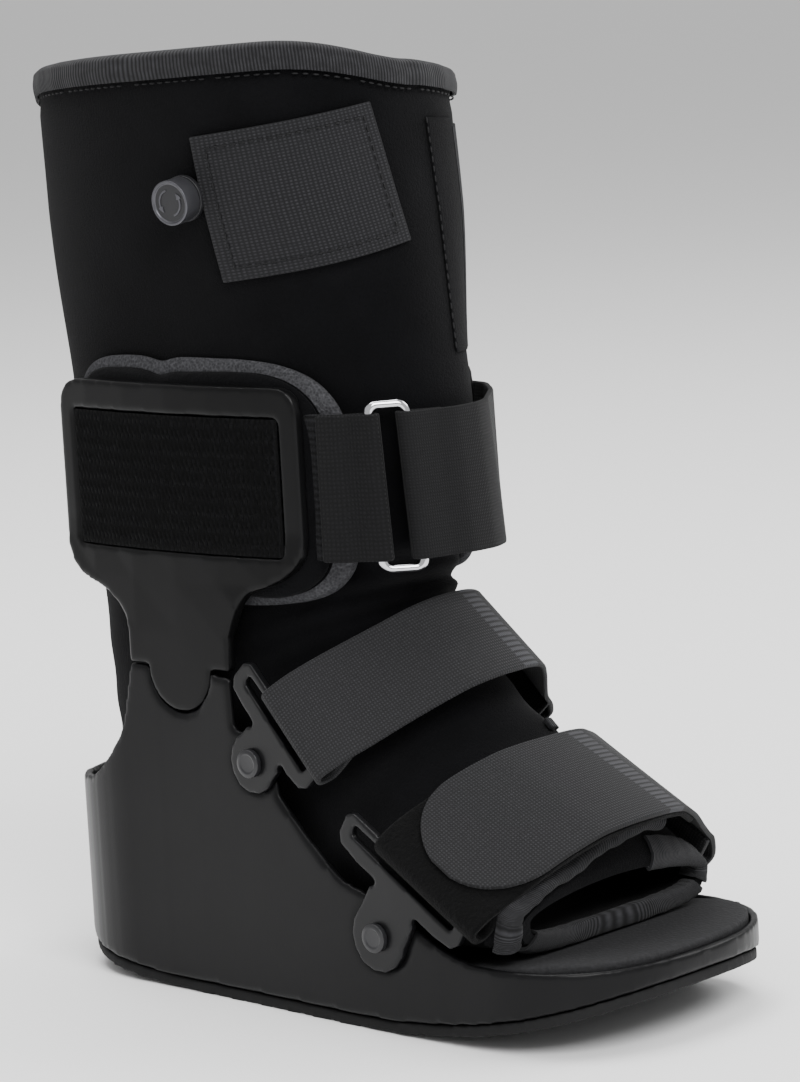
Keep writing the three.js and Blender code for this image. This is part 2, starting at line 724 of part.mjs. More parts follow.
// Strap loops and their rivets.
const loopLayer = wallLayer(pocketDepth - gap - loopThick, pocketDepth - gap);
const loopRows = [
  { name: 'ankle', loop: ankleLoop },
  { name: 'toe', loop: toeLoop },
];
for (const { name, loop } of loopRows) {
  const plate = loopPrism(loop, 0)
    .subtract(slotPrism(loop))
    .subtract(loopNotches(loop))
    .intersect(loopLayer);
  const plateGeometry = toGeometry(plate);
  addPiece(`loop_${name}_right`, plateGeometry, 'shell');
  addPiece(`loop_${name}_left`, mirrored(plateGeometry), 'shell');

  const faceX = halfWidthAt(loop.rivet.x) - pocketDepth + gap + loopThick;
  const dome = [[0, 2.2], [0.35, 2.1], [0.7, 1.6], [0.95, 0.8], [1, 0], [0, 0]]
    .map(([share, rise]) => new THREE.Vector2(share * rivetRadius, rise));
  const rivetGeometry = new THREE.LatheGeometry(dome.reverse(), 20);
  rivetGeometry.rotateZ(Math.PI / 2);
  rivetGeometry.translate(-(faceX + gap), loop.rivet.x, loop.rivet.y);
  const rivet = toGeometry(toSolid(rivetGeometry).subtract(loopLayer));
  addPiece(`rivet_${name}_right`, rivet, 'shell');
  addPiece(`rivet_${name}_left`, mirrored(rivet), 'shell');
}

/** The upper hull of points in a strap's own plane, from the least to the greatest x. */
function tautLine(points) {
  const sorted = [...points].sort((a, b) => a.x - b.x || a.y - b.y);
  const chain = [];
  for (const p of sorted) {
    while (chain.length > 1) {
      const [a, b] = chain.slice(-2);
      if ((b.x - a.x) * (p.y - a.y) - (b.y - a.y) * (p.x - a.x) < 0) break;
      chain.pop();
    }
    chain.push(p);
  }
  return chain;
}

/** Evenly spaced points along a polyline, each with its distance and its outward normal. */
function spaced(chain, step) {
  const lengths = chain.slice(1).map((p, i) => p.distanceTo(chain[i]));
  const total = lengths.reduce((sum, l) => sum + l, 0);
  const count = Math.max(2, Math.round(total / step));
  const even = [];
  for (let i = 0; i <= count; i += 1) {
    let rest = total * i / count;
    let k = 0;
    while (k < lengths.length - 1 && rest > lengths[k]) {
      rest -= lengths[k];
      k += 1;
    }
    even.push(chain[k].clone().lerp(chain[k + 1], Math.min(1, rest / lengths[k])));
  }
  return even.map((p, i) => {
    const before = even[Math.max(0, i - 1)];
    const after = even[Math.min(count, i + 1)];
    const along = after.clone().sub(before).normalize();
    return { point: p, normal: new THREE.Vector2(-along.y, along.x), at: total * i / count };
  });
}

/** Points of a taut line pushed out by an offset that may change along it. */
function pushedOut(line, offset) {
  return line.map(({ point, normal, at }) => point.clone()
    .addScaledVector(normal, typeof offset === 'function' ? offset(at) : offset));
}

/** Points of a round fold about a bar, from one direction to another, in radians. */
function foldAbout(centre, radius, from, to, steps = 5) {
  return Array.from({ length: steps + 1 }, (_, i) => {
    const turn = from + (to - from) * i / steps;
    return centre.clone().add(new THREE.Vector2(Math.cos(turn), Math.sin(turn))
      .multiplyScalar(radius));
  });
}

/** Sweeps a flat band along points in its own plane. place turns them into space. */
function ribbon(points, thick, width, place) {
  return loft(points.map((p, i) => {
    const before = points[Math.max(0, i - 1)];
    const after = points[Math.min(points.length - 1, i + 1)];
    const along = after.clone().sub(before).normalize();
    const out = new THREE.Vector2(-along.y, along.x).multiplyScalar(thick / 2);
    const half = (typeof width === 'function' ? width(i, points) : width) / 2;
    const [top, under] = [p.clone().add(out), p.clone().sub(out)];
    return [place(top, -half), place(top, half), place(under, half), place(under, -half)];
  }), 'strip');
}

const clearance = 0.7;

/** Sample points of the liner in the plane of a strap that crosses the foot. */
function linerInPlane(loop, width, drift) {
  const rodAlong = loop.length / 2;
  const rodOut = loopSlot + loopRod / 2;
  const base = loop.at(rodAlong, rodOut);
  const found = [];
  for (let i = 0; i <= 90; i += 1) {
    for (let k = 0; k < 60; k += 1) {
      const p = linerPoint(i / 90, (k / 60) * Math.PI * 2);
      const side = new THREE.Vector2(p.y, p.z).sub(base);
      const shift = side.dot(loop.along) - drift(p.x);
      const out = side.dot(loop.outward);
      if (Math.abs(shift) < width / 2 + 2 && out > 0) found.push(new THREE.Vector2(p.x, out));
    }
  }
  return { base, found };
}

/** A strap over the foot: its plane, taut line and folds about the rods of its two loops. */
function footStrap(loop, width, thick, driftAtTop, slant) {
  const rodX = halfWidthAt(loop.at(loop.length / 2, loopSlot).x) - pocketDepth + gap + loopThick / 2;
  const drift = (x) => driftAtTop * ease(1 - Math.abs(x) / rodX);
  const { base, found } = linerInPlane(loop, width - 0.5, drift);
  const fold = loopRod * 0.75 + gap + 0.8 + thick / 2;
  const lay = clearance + thick / 2;
  const rods = [-1, 1].map((side) => new THREE.Vector2(side * rodX, 0));
  const seats = rods.flatMap((rod, i) => foldAbout(rod, fold - lay, i ? 0 : Math.PI,
    Math.PI / 2, 4));
  const line = spaced(tautLine([...found, ...seats]), 6);
  const place = (p, across) => {
    const lean = slant * (0.5 + across / width) * ease(1.4 - 1.4 * Math.abs(p.x) / rodX);
    const side = base.clone().addScaledVector(loop.outward, p.y + lean)
      .addScaledVector(loop.along, across + drift(p.x));
    const flare = halfWidthAt(side.x) - halfWidthAt(base.x);
    const share = ease((Math.abs(p.x) / rodX - 0.8) / 0.2);
    return new THREE.Vector3(p.x + Math.sign(p.x) * flare * share, side.x, side.y);
  };
  return { line, lay, rods, fold, place };
}

/** The folded end of a foot strap about one rod, from its hidden tail to its outer side. */
function strapFold(strap, side, tail) {
  const rod = strap.rods[side < 0 ? 0 : 1];
  const inner = new THREE.Vector2(rod.x - side * strap.fold, tail);
  const turn = foldAbout(rod, strap.fold, side < 0 ? 0 : -Math.PI, side < 0 ? -Math.PI : 0, 6);
  return [inner, ...turn];
}

// Ankle strap: one band over the instep, folded about the rods of both ankle loops.
const ankle = footStrap(ankleLoop, ankleStrapWidth, webbing, ankleDrift, footSlant);
const tailLength = 9;
const ankleTop = pushedOut(ankle.line, ankle.lay).slice(1, -1);
const anklePath = [
  ...strapFold(ankle, -1, tailLength),
  ...ankleTop,
  ...strapFold(ankle, 1, tailLength).reverse(),
];
addPiece('ankle_strap', ribbon(anklePath, webbing, ankleStrapWidth, ankle.place), 'webbing');

// Toe strap: a pile layer from the right loop, and the strap from the left loop fastened on it.
const pile = footStrap(toeLoop, toeStrapWidth, pileThick, toeDrift, footSlant);
const pileLine = pushedOut(pile.line, pile.lay);
const pileEnd = pileLine.findIndex((p) => p.x > 0.28 * soleWidth);
const pilePath = [...strapFold(pile, -1, tailLength), ...pileLine.slice(1, pileEnd)];
addPiece('toe_strap_pile', ribbon(pilePath, pileThick, toeStrapWidth, pile.place), 'pile');

const toe = footStrap(toeLoop, toeStrapWidth, webbing, toeDrift, footSlant);
const toeLay = clearance + pileThick + gap * 2 + webbing / 2;
const toeStep = 3;
const toeLine = pushedOut(spaced(toe.line.map((row) => row.point), toeStep), toeLay);
const toeStartAt = toeLine.findIndex((p) => p.y > toeFreeEnd && p.x < 0);
const toePath = [
  ...toeLine.slice(toeStartAt, -3),
  ...strapFold(toe, 1, tailLength).reverse(),
];
/** Width of the toe strap, drawn in to a round free end. */
function toeWidth(i, points) {
  const reach = points[i].distanceTo(points[0]) + 1;
  const radius = toeStrapWidth / 2;
  return reach > radius ? toeStrapWidth
    : 2 * Math.sqrt(radius ** 2 - (radius - reach) ** 2);
}
addPiece('toe_strap', ribbon(toePath, webbing, toeWidth, toe.place), 'webbing');

// Calf strap: the line that a band takes round the shin, in plan, over the liner and both pads.
const strapZ = frameBase + frameBorder + (frameHeight - frameBorder * 2 - 3) / 2;
const planPoint = (p) => new THREE.Vector2(p.x, legY - p.y);
const shin = [];
for (let i = 0; i <= 60; i += 1) {
  for (let k = 0; k < 60; k += 1) {
    const p = linerPoint(i / 60, (k / 60) * Math.PI * 2);
    if (Math.abs(p.z - strapZ) < calfStrapWidth / 2 + 3) shin.push(planPoint(p));
  }
}
const padDepth = strutThick + tabRoom + gap;
const padEdge = frame.front - padOverhang;
for (const side of [-1, 1]) {
  for (const z of [strapZ - calfStrapWidth / 2, strapZ, strapZ + calfStrapWidth / 2]) {
    for (const y of [padEdge, frame.front - 5, frame.front, frame.front + 8, frame.front + 20]) {
      shin.push(planPoint({ x: side * (strutFace(y, z) - padDepth + gap), y }));
    }
    if (side > 0) {
      for (const y of [frame.front, frame.front + 20, legY]) {
        shin.push(planPoint({ x: strutFace(y, z), y }));
      }
    }
  }
}
const shinLine = spaced(tautLine(shin.filter((p) => p.y > -2)), 3.2);
const layAt = clearance + webbing / 2;
const barLay = clearance + webbing + gap + ringWire / 2;
const barFold = ringWire / 2 + gap + webbing / 2;
/** Turns a point of the calf strap's plan into space. Its lower edge stands out at the shin. */
function calfPlace(p, across) {
  const slant = strapSlant * (0.5 - across / calfStrapWidth) * ease((p.y - 62) / 28);
  return new THREE.Vector3(p.x, legY - p.y - slant, strapZ + across);
}
const ringAt = shinLine.findIndex((row) => row.point.x > -ringShare * soleWidth && row.point.y > 40);
const ringRow = shinLine[ringAt];
const ringTurn = Math.atan2(ringRow.normal.y, ringRow.normal.x);
const barMiddle = ringRow.point.clone().addScaledVector(ringRow.normal, barLay);
const ringAlong = new THREE.Vector2(ringRow.normal.y, -ringRow.normal.x);
const barGap = ringOpening + ringWire;
const bars = [-0.5, 0.5].map((s) => barMiddle.clone().addScaledVector(ringAlong, s * barGap));

// Ring: a rectangle of round wire with rounded corners, standing across the strap.
const ringHigh = calfStrapWidth / 2 + 1.2 + ringWire / 2;
const ringSides = 8;
const ringRings = [];
const corner = 3;
const corners = [
  [-barGap / 2, -ringHigh], [barGap / 2, -ringHigh], [barGap / 2, ringHigh], [-barGap / 2, ringHigh],
];
corners.forEach(([a, z], k) => {
  const centre = [a - Math.sign(a) * corner, z - Math.sign(z) * corner];
  const from = [Math.PI, 1.5 * Math.PI, 0, 0.5 * Math.PI][k];
  for (let i = 0; i <= 3; i += 1) {
    const turn = from + (i / 3) * Math.PI / 2;
    const radial = [Math.cos(turn), Math.sin(turn)];
    ringRings.push(Array.from({ length: ringSides }, (_, j) => {
      const roll = (j / ringSides) * Math.PI * 2;
      const out = corner + Math.cos(roll) * ringWire / 2;
      const flat = barMiddle.clone()
        .addScaledVector(ringAlong, centre[0] + radial[0] * out)
        .addScaledVector(ringRow.normal, Math.sin(roll) * ringWire / 2);
      return calfPlace(flat, centre[1] + radial[1] * out);
    }));
  }
});
addPiece('strap_ring', loft(ringRings, 'endless'), 'chrome');

// Calf tab: from behind the right strut to the ring, folded outward about its near bar.
const tabTail = 18;
const tabHidden = { y: frame.front + 14 };
const tabDepth = strutThick + gap * 1.6 + webbing / 2;
const tabStartX = -(strutFace(tabHidden.y, strapZ) - tabDepth);
const tabMain = [
  planPoint({ x: tabStartX, y: tabHidden.y }),
  planPoint({ x: -(strutFace(frame.front + 2, strapZ) - tabDepth), y: frame.front + 2 }),
  ...pushedOut(shinLine.slice(0, ringAt), layAt)
    .filter((p) => p.y > legY - frame.front + 3 && p.distanceTo(bars[0]) > barFold + 2),
];
const tabPath = [
  ...tabMain,
  ...foldAbout(bars[0], barFold, ringTurn - Math.PI, ringTurn, 6),
];
const tabBack = pushedOut(shinLine.slice(0, ringAt), layAt + webbing + gap + 0.2)
  .filter((p) => p.distanceTo(bars[0]) > barFold + 3 && p.distanceTo(bars[0]) < tabTail)
  .reverse();
addPiece('calf_tab', ribbon([...tabPath, ...tabBack], webbing, calfStrapWidth, calfPlace), 'webbing');

// Calf strap: sewn round the ring's far bar, over the shin and the left strut to its window.
const strapTail = 16;
const strapInside = pushedOut(shinLine.slice(ringAt), layAt)
  .filter((p) => p.distanceTo(bars[1]) > barFold + 2 && p.distanceTo(bars[1]) < strapTail)
  .reverse();
const strapOutside = pushedOut(shinLine.slice(ringAt), layAt + webbing + gap + 0.2)
  .filter((p) => p.distanceTo(bars[1]) > barFold + 5);
const strapPath = [
  ...strapInside,
  ...foldAbout(bars[1], barFold, ringTurn - Math.PI, ringTurn - 2 * Math.PI, 6),
  ...strapOutside,
];
addPiece('calf_strap', ribbon(strapPath, webbing, calfStrapWidth, calfPlace), 'webbing');

/** A cloth slab on the liner between four corners given as stations and turns. */
function linerSlab([topLeft, topRight, lowLeft, lowRight], columns, rows, rise, thick) {
  const { lerp } = THREE.MathUtils;
  const rings = [];
  for (let j = 0; j <= rows; j += 1) {
    const v = j / rows;
    const line = (over) => Array.from({ length: columns + 1 }, (_, i) => {
      const u = i / columns;
      const mix = (key) => lerp(
        lerp(topLeft[key], topRight[key], u), lerp(lowLeft[key], lowRight[key], u), v);
      return linerPoint(mix('station'), mix('turn'), rise(u, v) + over);
    });
    rings.push([...line(thick), ...line(0).reverse()]);
  }
  return loft(rings, 'strip');
}

/** The station and turn of the shaft's surface nearest to a point. */
function nearestOnShaft(x, y, z) {
  const target = new THREE.Vector3(x, y, z);
  let best = { distance: Infinity };
  for (let i = 0; i <= 120; i += 1) {
    for (let k = 0; k < 160; k += 1) {
      const [station, turn] = [0.3 * i / 120, (k / 160) * Math.PI * 2];
      const distance = linerPoint(station, turn).distanceTo(target);
      if (distance < best.distance) best = { distance, station, turn };
    }
  }
  return best;
}

/** The surface point and outward normal of the shaft at a station and turn. */
function shaftSurface({ station, turn }) {
  const point = linerPoint(station, turn);
  const down = linerPoint(station + 0.01, turn).sub(point);
  const round = linerPoint(station, turn + 0.05).sub(point);
  return { point, normal: round.cross(down).normalize() };
}

/** Cloth folded over an end of the liner, between two of the liner's facets, or all round. */
function binding(end, reach, from, to, cloth) {
  const closed = to - from === around;
  const rings = [];
  for (let k = from; k <= (closed ? to - 1 : to); k += 1) {
    const turn = (k / around) * Math.PI * 2;
    const near = end ? 1 - reach : reach;
    const along = linerPoint(end, turn).sub(linerPoint(near, turn)).normalize();
    const over = (swell, rise) => linerPoint(end, turn, swell).addScaledVector(along, rise);
    const inside = -wallAt(end) - gap;
    rings.push([
      linerPoint(near, turn, gap + cloth), over(gap + cloth, gap + cloth),
      over(inside - cloth, gap + cloth), linerPoint(near, turn, inside - cloth),
      linerPoint(near, turn, inside), over(inside, gap),
      over(gap, gap), linerPoint(near, turn, gap),
    ]);
  }
  return loft(rings, closed ? 'endless' : 'strip');
}

// Bindings: one round the rim, one along the sole's edge and one along the left toe flap.
const rimReach = bindingHeight / (0.14 * bootHeight) / (linerRows.length - 1);
addPiece('top_binding', binding(0, rimReach, 0, around, bindingThick), 'binding');
addPiece('toe_edge_sole', binding(1, 0.02, -5, 5, bindingThick), 'binding');
addPiece('toe_flap_far', binding(1, 0.03, 6, 12, bindingThick), 'binding');

// Right toe flap: it laps over the left one, and its bound front edge stands off the liner.
const lapTurn = (12 / around) * Math.PI * 2;
const lapFoot = (22 / around) * Math.PI * 2;
const lapStart = 0.95;
const lapBase = 2.1;
/** How far the right toe flap stands off the liner, along it and toward its front edge. */
function lapRise(u, v) {
  return lapBase + flapRise * ease(1 - u * 1.9) * ease(v);
}
const lapCorners = [
  { station: lapStart, turn: lapTurn }, { station: lapStart, turn: lapFoot },
  { station: 0.995, turn: lapTurn }, { station: 0.995, turn: lapFoot },
];
addPiece('toe_flap_near', linerSlab(lapCorners, 10, 4, lapRise, flapThick), 'liner');

const lapRings = Array.from({ length: 11 }, (_, i) => {
  const u = i / 10;
  const turn = THREE.MathUtils.lerp(lapTurn, lapFoot, u);
  const point = (v, over, beyond) => linerPoint(
    THREE.MathUtils.lerp(lapStart, 0.995, v), turn, lapRise(u, Math.min(1, v)) + over,
  ).add(new THREE.Vector3(0, -beyond, 0));
  const [low, high] = [-gap * 1.5, flapThick + gap * 1.5];
  const cloth = bindingThick;
  return [
    point(0.75, high + cloth, 0), point(1, high + cloth, gap + cloth),
    point(1, low - cloth, gap + cloth), point(0.75, low - cloth, 0),
    point(0.75, low, 0), point(1, low, gap), point(1, high, gap), point(0.75, high, 0),
  ];
});
addPiece('toe_edge_near', loft(lapRings, 'strip'), 'binding');

// Label patch on the right of the shaft, turned a little, and the closure flap at its front.
/** The shaft's surface near shares of the sole's width, its length and the boot's height. */
function onShaft(across, along, height) {
  return nearestOnShaft(across * soleWidth, along * soleLength, height * bootHeight);
}
const patchSpan = { start: onShaft(-0.5, 0.1045, 0.9346), stop: onShaft(-0.127, -0.0728, 0.9626) };
const patchFoot = { start: onShaft(-0.466, 0.0672, 0.7757), stop: onShaft(-0.055, -0.0933, 0.8349) };
addPiece('label_patch', linerSlab(
  [patchSpan.start, patchSpan.stop, patchFoot.start, patchFoot.stop],
  8, 4, () => clearance, clothThick), 'webbing');

// Closure: the front edge of the shaft's right side laps over the left one, and is bound.
/** A tall panel at the front of the shaft, from and to shares of the sole's width. */
function shaftPanel(fromX, toX, top, thick) {
  const foot = 0.695;
  const corner = (x, z) => onShaft(x, -0.09, z);
  return linerSlab(
    [corner(fromX, top), corner(toX, top), corner(fromX, foot), corner(toX, foot)],
    4, 5, () => clearance, thick);
}
addPiece('closure_flap', shaftPanel(0.034, 0.178, 0.945, closureThick), 'liner');
addPiece('closure_edge', shaftPanel(0.1907, 0.2288, 0.935, closureThick + 0.6), 'binding');

// Instep edge: the bound edge of the right flap, where it shows between the two foot straps.
const instepCorners = [
  { station: 0.735, turn: lapTurn }, { station: 0.735, turn: lapTurn + 0.12 },
  { station: 0.757, turn: lapTurn }, { station: 0.757, turn: lapTurn + 0.12 },
];
addPiece('instep_edge', linerSlab(instepCorners, 2, 4, () => clearance, 1.6), 'binding');

// Air valve: a knob that turns on a flat base.
const valve = shaftSurface(onShaft(-0.4602, 0.1284, 0.875));
/** Turns a profile of [radius, height] points about the valve's axis and seats it there. */
function valveLathe(profile, sides) {
  const points = profile.map(([radius, height]) => new THREE.Vector2(radius, height));
  const geometry = new THREE.LatheGeometry(points, sides);
  geometry.applyQuaternion(new THREE.Quaternion().setFromUnitVectors(
    new THREE.Vector3(0, 1, 0), valve.normal));
  geometry.translate(...valve.point.toArray());
  return toGeometry(toSolid(geometry));
}
const baseTop = gap + 1.5;
addPiece('valve_base', valveLathe([
  [0, gap], [valveDiameter / 2, gap], [valveDiameter / 2, baseTop - 0.5],
  [valveDiameter / 2 - 0.6, baseTop], [0, baseTop],
], 20), 'knob');
const knobFoot = baseTop + gap;
const knobTop = knobFoot + knobHeight;
addPiece('valve_knob', valveLathe([
  [0, knobFoot], [knobDiameter / 2, knobFoot], [knobDiameter / 2, knobTop - 1.2],
  [knobDiameter / 2 - 1.2, knobTop], [0, knobTop],
], 24), 'knob');

// The origin is the middle of the box round the whole boot, at its foot.
const bounds = new THREE.Box3().setFromObject(boot);
const middle = bounds.getCenter(new THREE.Vector3());
boot.children.forEach((mesh) => mesh.geometry.translate(-middle.x, -middle.y, -bounds.min.z));

export default boot;
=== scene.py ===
"""Dresses the short walking boot: plastic shell, struts, padded bootie, straps and air valve.

Lengths inside the classes are millimetres in the boot's own frame: toe toward -Y, +Z up the leg.
They become metres only when a mesh is made.
"""
import logging
import math
from dataclasses import dataclass, field
from enum import Enum
from typing import Callable

import bpy
import numpy as np
from mathutils import Matrix, Vector
from mathutils.bvhtree import BVHTree


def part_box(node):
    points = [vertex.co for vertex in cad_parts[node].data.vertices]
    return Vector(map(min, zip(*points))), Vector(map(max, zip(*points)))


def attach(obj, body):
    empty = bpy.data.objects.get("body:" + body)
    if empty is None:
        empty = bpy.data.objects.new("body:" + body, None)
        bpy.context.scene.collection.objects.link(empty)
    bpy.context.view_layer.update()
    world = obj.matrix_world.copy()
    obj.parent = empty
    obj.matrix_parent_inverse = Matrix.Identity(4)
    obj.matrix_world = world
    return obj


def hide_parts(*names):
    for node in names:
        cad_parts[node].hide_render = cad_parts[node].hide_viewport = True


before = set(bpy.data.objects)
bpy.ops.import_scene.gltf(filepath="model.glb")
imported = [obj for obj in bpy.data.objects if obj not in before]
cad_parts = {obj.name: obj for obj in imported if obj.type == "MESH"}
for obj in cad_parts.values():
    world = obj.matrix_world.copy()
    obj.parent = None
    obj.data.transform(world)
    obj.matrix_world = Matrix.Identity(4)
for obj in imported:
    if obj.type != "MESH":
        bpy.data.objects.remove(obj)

LOG = logging.getLogger("walking_boot")
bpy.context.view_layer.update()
MM = 0.001
# The boot's frame is the liner's own frame moved so that the whole part's box is centred.
SHIFT = np.array([0.176, -2.606, 0.0])
Place = Callable[[np.ndarray, np.ndarray], tuple[np.ndarray, np.ndarray]]


class Side(Enum):
    """The wearer's right side carries the valve and lies toward -X."""

    RIGHT = -1
    LEFT = 1


def linear(code: str) -> tuple[float, float, float, float]:
    """Turns an sRGB hex colour into linear red, green, blue and an opaque alpha.

    Args:
        code: six hex digits, with or without a leading hash.

    Returns:
        The linear colour.
    """
    parts = [int(code.lstrip("#")[i:i + 2], 16) / 255 for i in (0, 2, 4)]
    bent = [c / 12.92 if c <= 0.04045 else ((c + 0.055) / 1.055) ** 2.4 for c in parts]
    return (*bent, 1.0)


def add(tree: bpy.types.NodeTree, kind: str, feeds: dict | None = None, **settings) -> bpy.types.Node:
    """Adds a node, sets it and feeds its sockets.

    Args:
        tree: the node tree that gets the node.
        kind: the node's type name.
        feeds: socket name or number to a value, or to the output socket that it is linked to.
        settings: the node's own properties.

    Returns:
        The new node.
    """
    made = tree.nodes.new(kind)
    for key, value in settings.items():
        setattr(made, key, value)
    for key, value in (feeds or {}).items():
        if isinstance(value, bpy.types.NodeSocket):
            tree.links.new(value, made.inputs[key])
        else:
            made.inputs[key].default_value = value
    return made


def bands(period_mm: float) -> float:
    """Scale of a wave texture whose bands repeat at a real period.

    Args:
        period_mm: the distance from band to band.

    Returns:
        The value for the Scale socket.
    """
    return 0.314159 / (period_mm * MM)


def grains(size_mm: float) -> float:
    """Scale of a noise texture whose lumps have a real size.

    Args:
        size_mm: the size of one lump.

    Returns:
        The value for the Scale socket.
    """
    return 1 / (size_mm * MM)


@dataclass(frozen=True)
class Finish:
    """A surface: two colours mixed by its pattern, with relief from the same pattern."""

    name: str
    colour: str
    second: str
    roughness: float = 0.9
    spread: float = 0.08
    metallic: float = 0.0
    ior: float = 1.5
    specular: float = 0.5
    sheen: float = 0.0
    coat: float = 0.0
    depth_mm: float = 0.2

    def relief(self, tree: bpy.types.NodeTree) -> tuple[bpy.types.NodeSocket, bpy.types.NodeSocket]:
        """Makes the pattern.

        Args:
            tree: the material's nodes.

        Returns:
            The socket that mixes the colours and the socket that gives the height.
        """
        place = add(tree, "ShaderNodeTexCoord").outputs["Object"]
        noise = add(tree, "ShaderNodeTexNoise", {"Vector": place, "Scale": grains(2), "Detail": 3.0})
        return noise.outputs["Fac"], noise.outputs["Fac"]

    def material(self) -> bpy.types.Material:
        """Builds the material once, and gives the same one after that.

        Returns:
            The material.
        """
        known = bpy.data.materials.get(self.name)
        if known:
            return known
        made = bpy.data.materials.new(self.name)
        made.use_nodes = True
        tree = made.node_tree
        shader = tree.nodes["Principled BSDF"]
        blend, height = self.relief(tree)
        mixed = add(tree, "ShaderNodeMix", {0: blend, 6: linear(self.colour), 7: linear(self.second)},
                    data_type="RGBA")
        worn = add(tree, "ShaderNodeMapRange", {
            "Value": blend, "To Min": self.roughness - self.spread / 2,
            "To Max": min(1.0, self.roughness + self.spread / 2)})
        bump = add(tree, "ShaderNodeBump", {
            "Height": height, "Strength": 1.0, "Distance": self.depth_mm * MM})
        tree.links.new(mixed.outputs[2], shader.inputs["Base Color"])
        tree.links.new(worn.outputs["Result"], shader.inputs["Roughness"])
        tree.links.new(bump.outputs["Normal"], shader.inputs["Normal"])
        shader.inputs["Metallic"].default_value = self.metallic
        shader.inputs["IOR"].default_value = self.ior
        shader.inputs["Specular IOR Level"].default_value = self.specular
        shader.inputs["Sheen Weight"].default_value = self.sheen
        shader.inputs["Sheen Roughness"].default_value = 0.5
        shader.inputs["Coat Weight"].default_value = self.coat
        shader.inputs["Coat Roughness"].default_value = 0.25
        return made


@dataclass(frozen=True)
class MouldedNylon(Finish):
    """Glass-filled nylon from a lightly grained mould: satin, with a painted highlight on its edges."""

    grain_mm: float = 0.55

    def relief(self, tree: bpy.types.NodeTree) -> tuple[bpy.types.NodeSocket, bpy.types.NodeSocket]:
        """Grain of the mould for the height, and cloudy flow with a painted highlight on the edges for the
        colour.

        Args:
            tree: the material's nodes.

        Returns:
            What mixes the colours, and the height.
        """
        place = add(tree, "ShaderNodeTexCoord").outputs["Object"]
        grain = add(tree, "ShaderNodeTexNoise", {
            "Vector": place, "Scale": grains(self.grain_mm), "Detail": 2.0})
        cloud = add(tree, "ShaderNodeTexNoise", {"Vector": place, "Scale": grains(28), "Detail": 3.0})
        # Pointiness lifts the colour on sharp edges: a painted highlight where the edges catch the light.
        point = add(tree, "ShaderNodeNewGeometry").outputs["Pointiness"]
        edge = add(tree, "ShaderNodeMapRange", {
            "Value": point, "From Min": 0.52, "From Max": 0.62, "To Min": 0.0, "To Max": 0.55})
        both = add(tree, "ShaderNodeMath", {
            0: edge.outputs["Result"], 1: cloud.outputs["Fac"]}, operation="ADD", use_clamp=True)
        return both.outputs[0], grain.outputs["Fac"]


@dataclass(frozen=True)
class BrushedCloth(Finish):
    """Loop cloth laminated to foam and brushed: very dark, fuzzy, with a faint sheen."""

    fuzz_mm: float = 0.9

    def relief(self, tree: bpy.types.NodeTree) -> tuple[bpy.types.NodeSocket, bpy.types.NodeSocket]:
        """Fuzz at the size of the brushed loops, over slow lighter patches where it is rubbed.

        Args:
            tree: the material's nodes.

        Returns:
            What mixes the colours, and the height.
        """
        place = add(tree, "ShaderNodeTexCoord").outputs["Object"]
        fuzz = add(tree, "ShaderNodeTexNoise", {
            "Vector": place, "Scale": grains(self.fuzz_mm), "Detail": 5.0, "Roughness": 0.7})
        patch = add(tree, "ShaderNodeTexNoise", {"Vector": place, "Scale": grains(22), "Detail": 2.0})
        both = add(tree, "ShaderNodeMath", {
            0: fuzz.outputs["Fac"], 1: patch.outputs["Fac"]}, operation="MULTIPLY")
        return both.outputs[0], fuzz.outputs["Fac"]


@dataclass(frozen=True)
class Woven(Finish):
    """Woven webbing: yarns cross at a real pitch, and a sewn band may show as lighter ridges."""

    warp_mm: float = 1.1
    weft_mm: float = 0.9
    band_mm: tuple[float, float] | None = None
    ridge_mm: float = 2.4

    def relief(self, tree: bpy.types.NodeTree) -> tuple[bpy.types.NodeSocket, bpy.types.NodeSocket]:
        """Crossing yarns on the strap's own map, whose first coordinate runs along the strap.

        Args:
            tree: the material's nodes.

        Returns:
            What mixes the colours, and the height.
        """
        place = add(tree, "ShaderNodeTexCoord").outputs["UV"]
        along = add(tree, "ShaderNodeTexWave", {
            "Vector": place, "Scale": bands(self.weft_mm), "Distortion": 0.6, "Detail": 1.0},
            bands_direction="X")
        across = add(tree, "ShaderNodeTexWave", {
            "Vector": place, "Scale": bands(self.warp_mm), "Distortion": 0.6, "Detail": 1.0},
            bands_direction="Y")
        yarn = add(tree, "ShaderNodeMath", {
            0: along.outputs["Fac"], 1: across.outputs["Fac"]}, operation="MULTIPLY")
        uneven = add(tree, "ShaderNodeTexNoise", {"Vector": place, "Scale": grains(1.6), "Detail": 4.0})
        blend = add(tree, "ShaderNodeMath", {
            0: yarn.outputs[0], 1: uneven.outputs["Fac"]}, operation="MULTIPLY")
        if not self.band_mm:
            return blend.outputs[0], yarn.outputs[0]
        low, high = self.band_mm
        split = add(tree, "ShaderNodeSeparateXYZ", {0: place})
        inside = add(tree, "ShaderNodeMath", {
            0: split.outputs["X"], 1: (low + high) / 2 * MM, 2: (high - low) / 2 * MM},
            operation="COMPARE")
        ridge = add(tree, "ShaderNodeTexWave", {"Vector": place, "Scale": bands(self.ridge_mm)},
                    bands_direction="Y")
        sewn = add(tree, "ShaderNodeMath", {
            0: ridge.outputs["Fac"], 1: inside.outputs[0]}, operation="MULTIPLY")
        lit = add(tree, "ShaderNodeMath", {
            0: blend.outputs[0], 1: sewn.outputs[0]}, operation="ADD", use_clamp=True)
        high_low = add(tree, "ShaderNodeMath", {
            0: sewn.outputs[0], 1: 2.2, 2: yarn.outputs[0]}, operation="MULTIPLY_ADD")
        return lit.outputs[0], high_low.outputs[0]


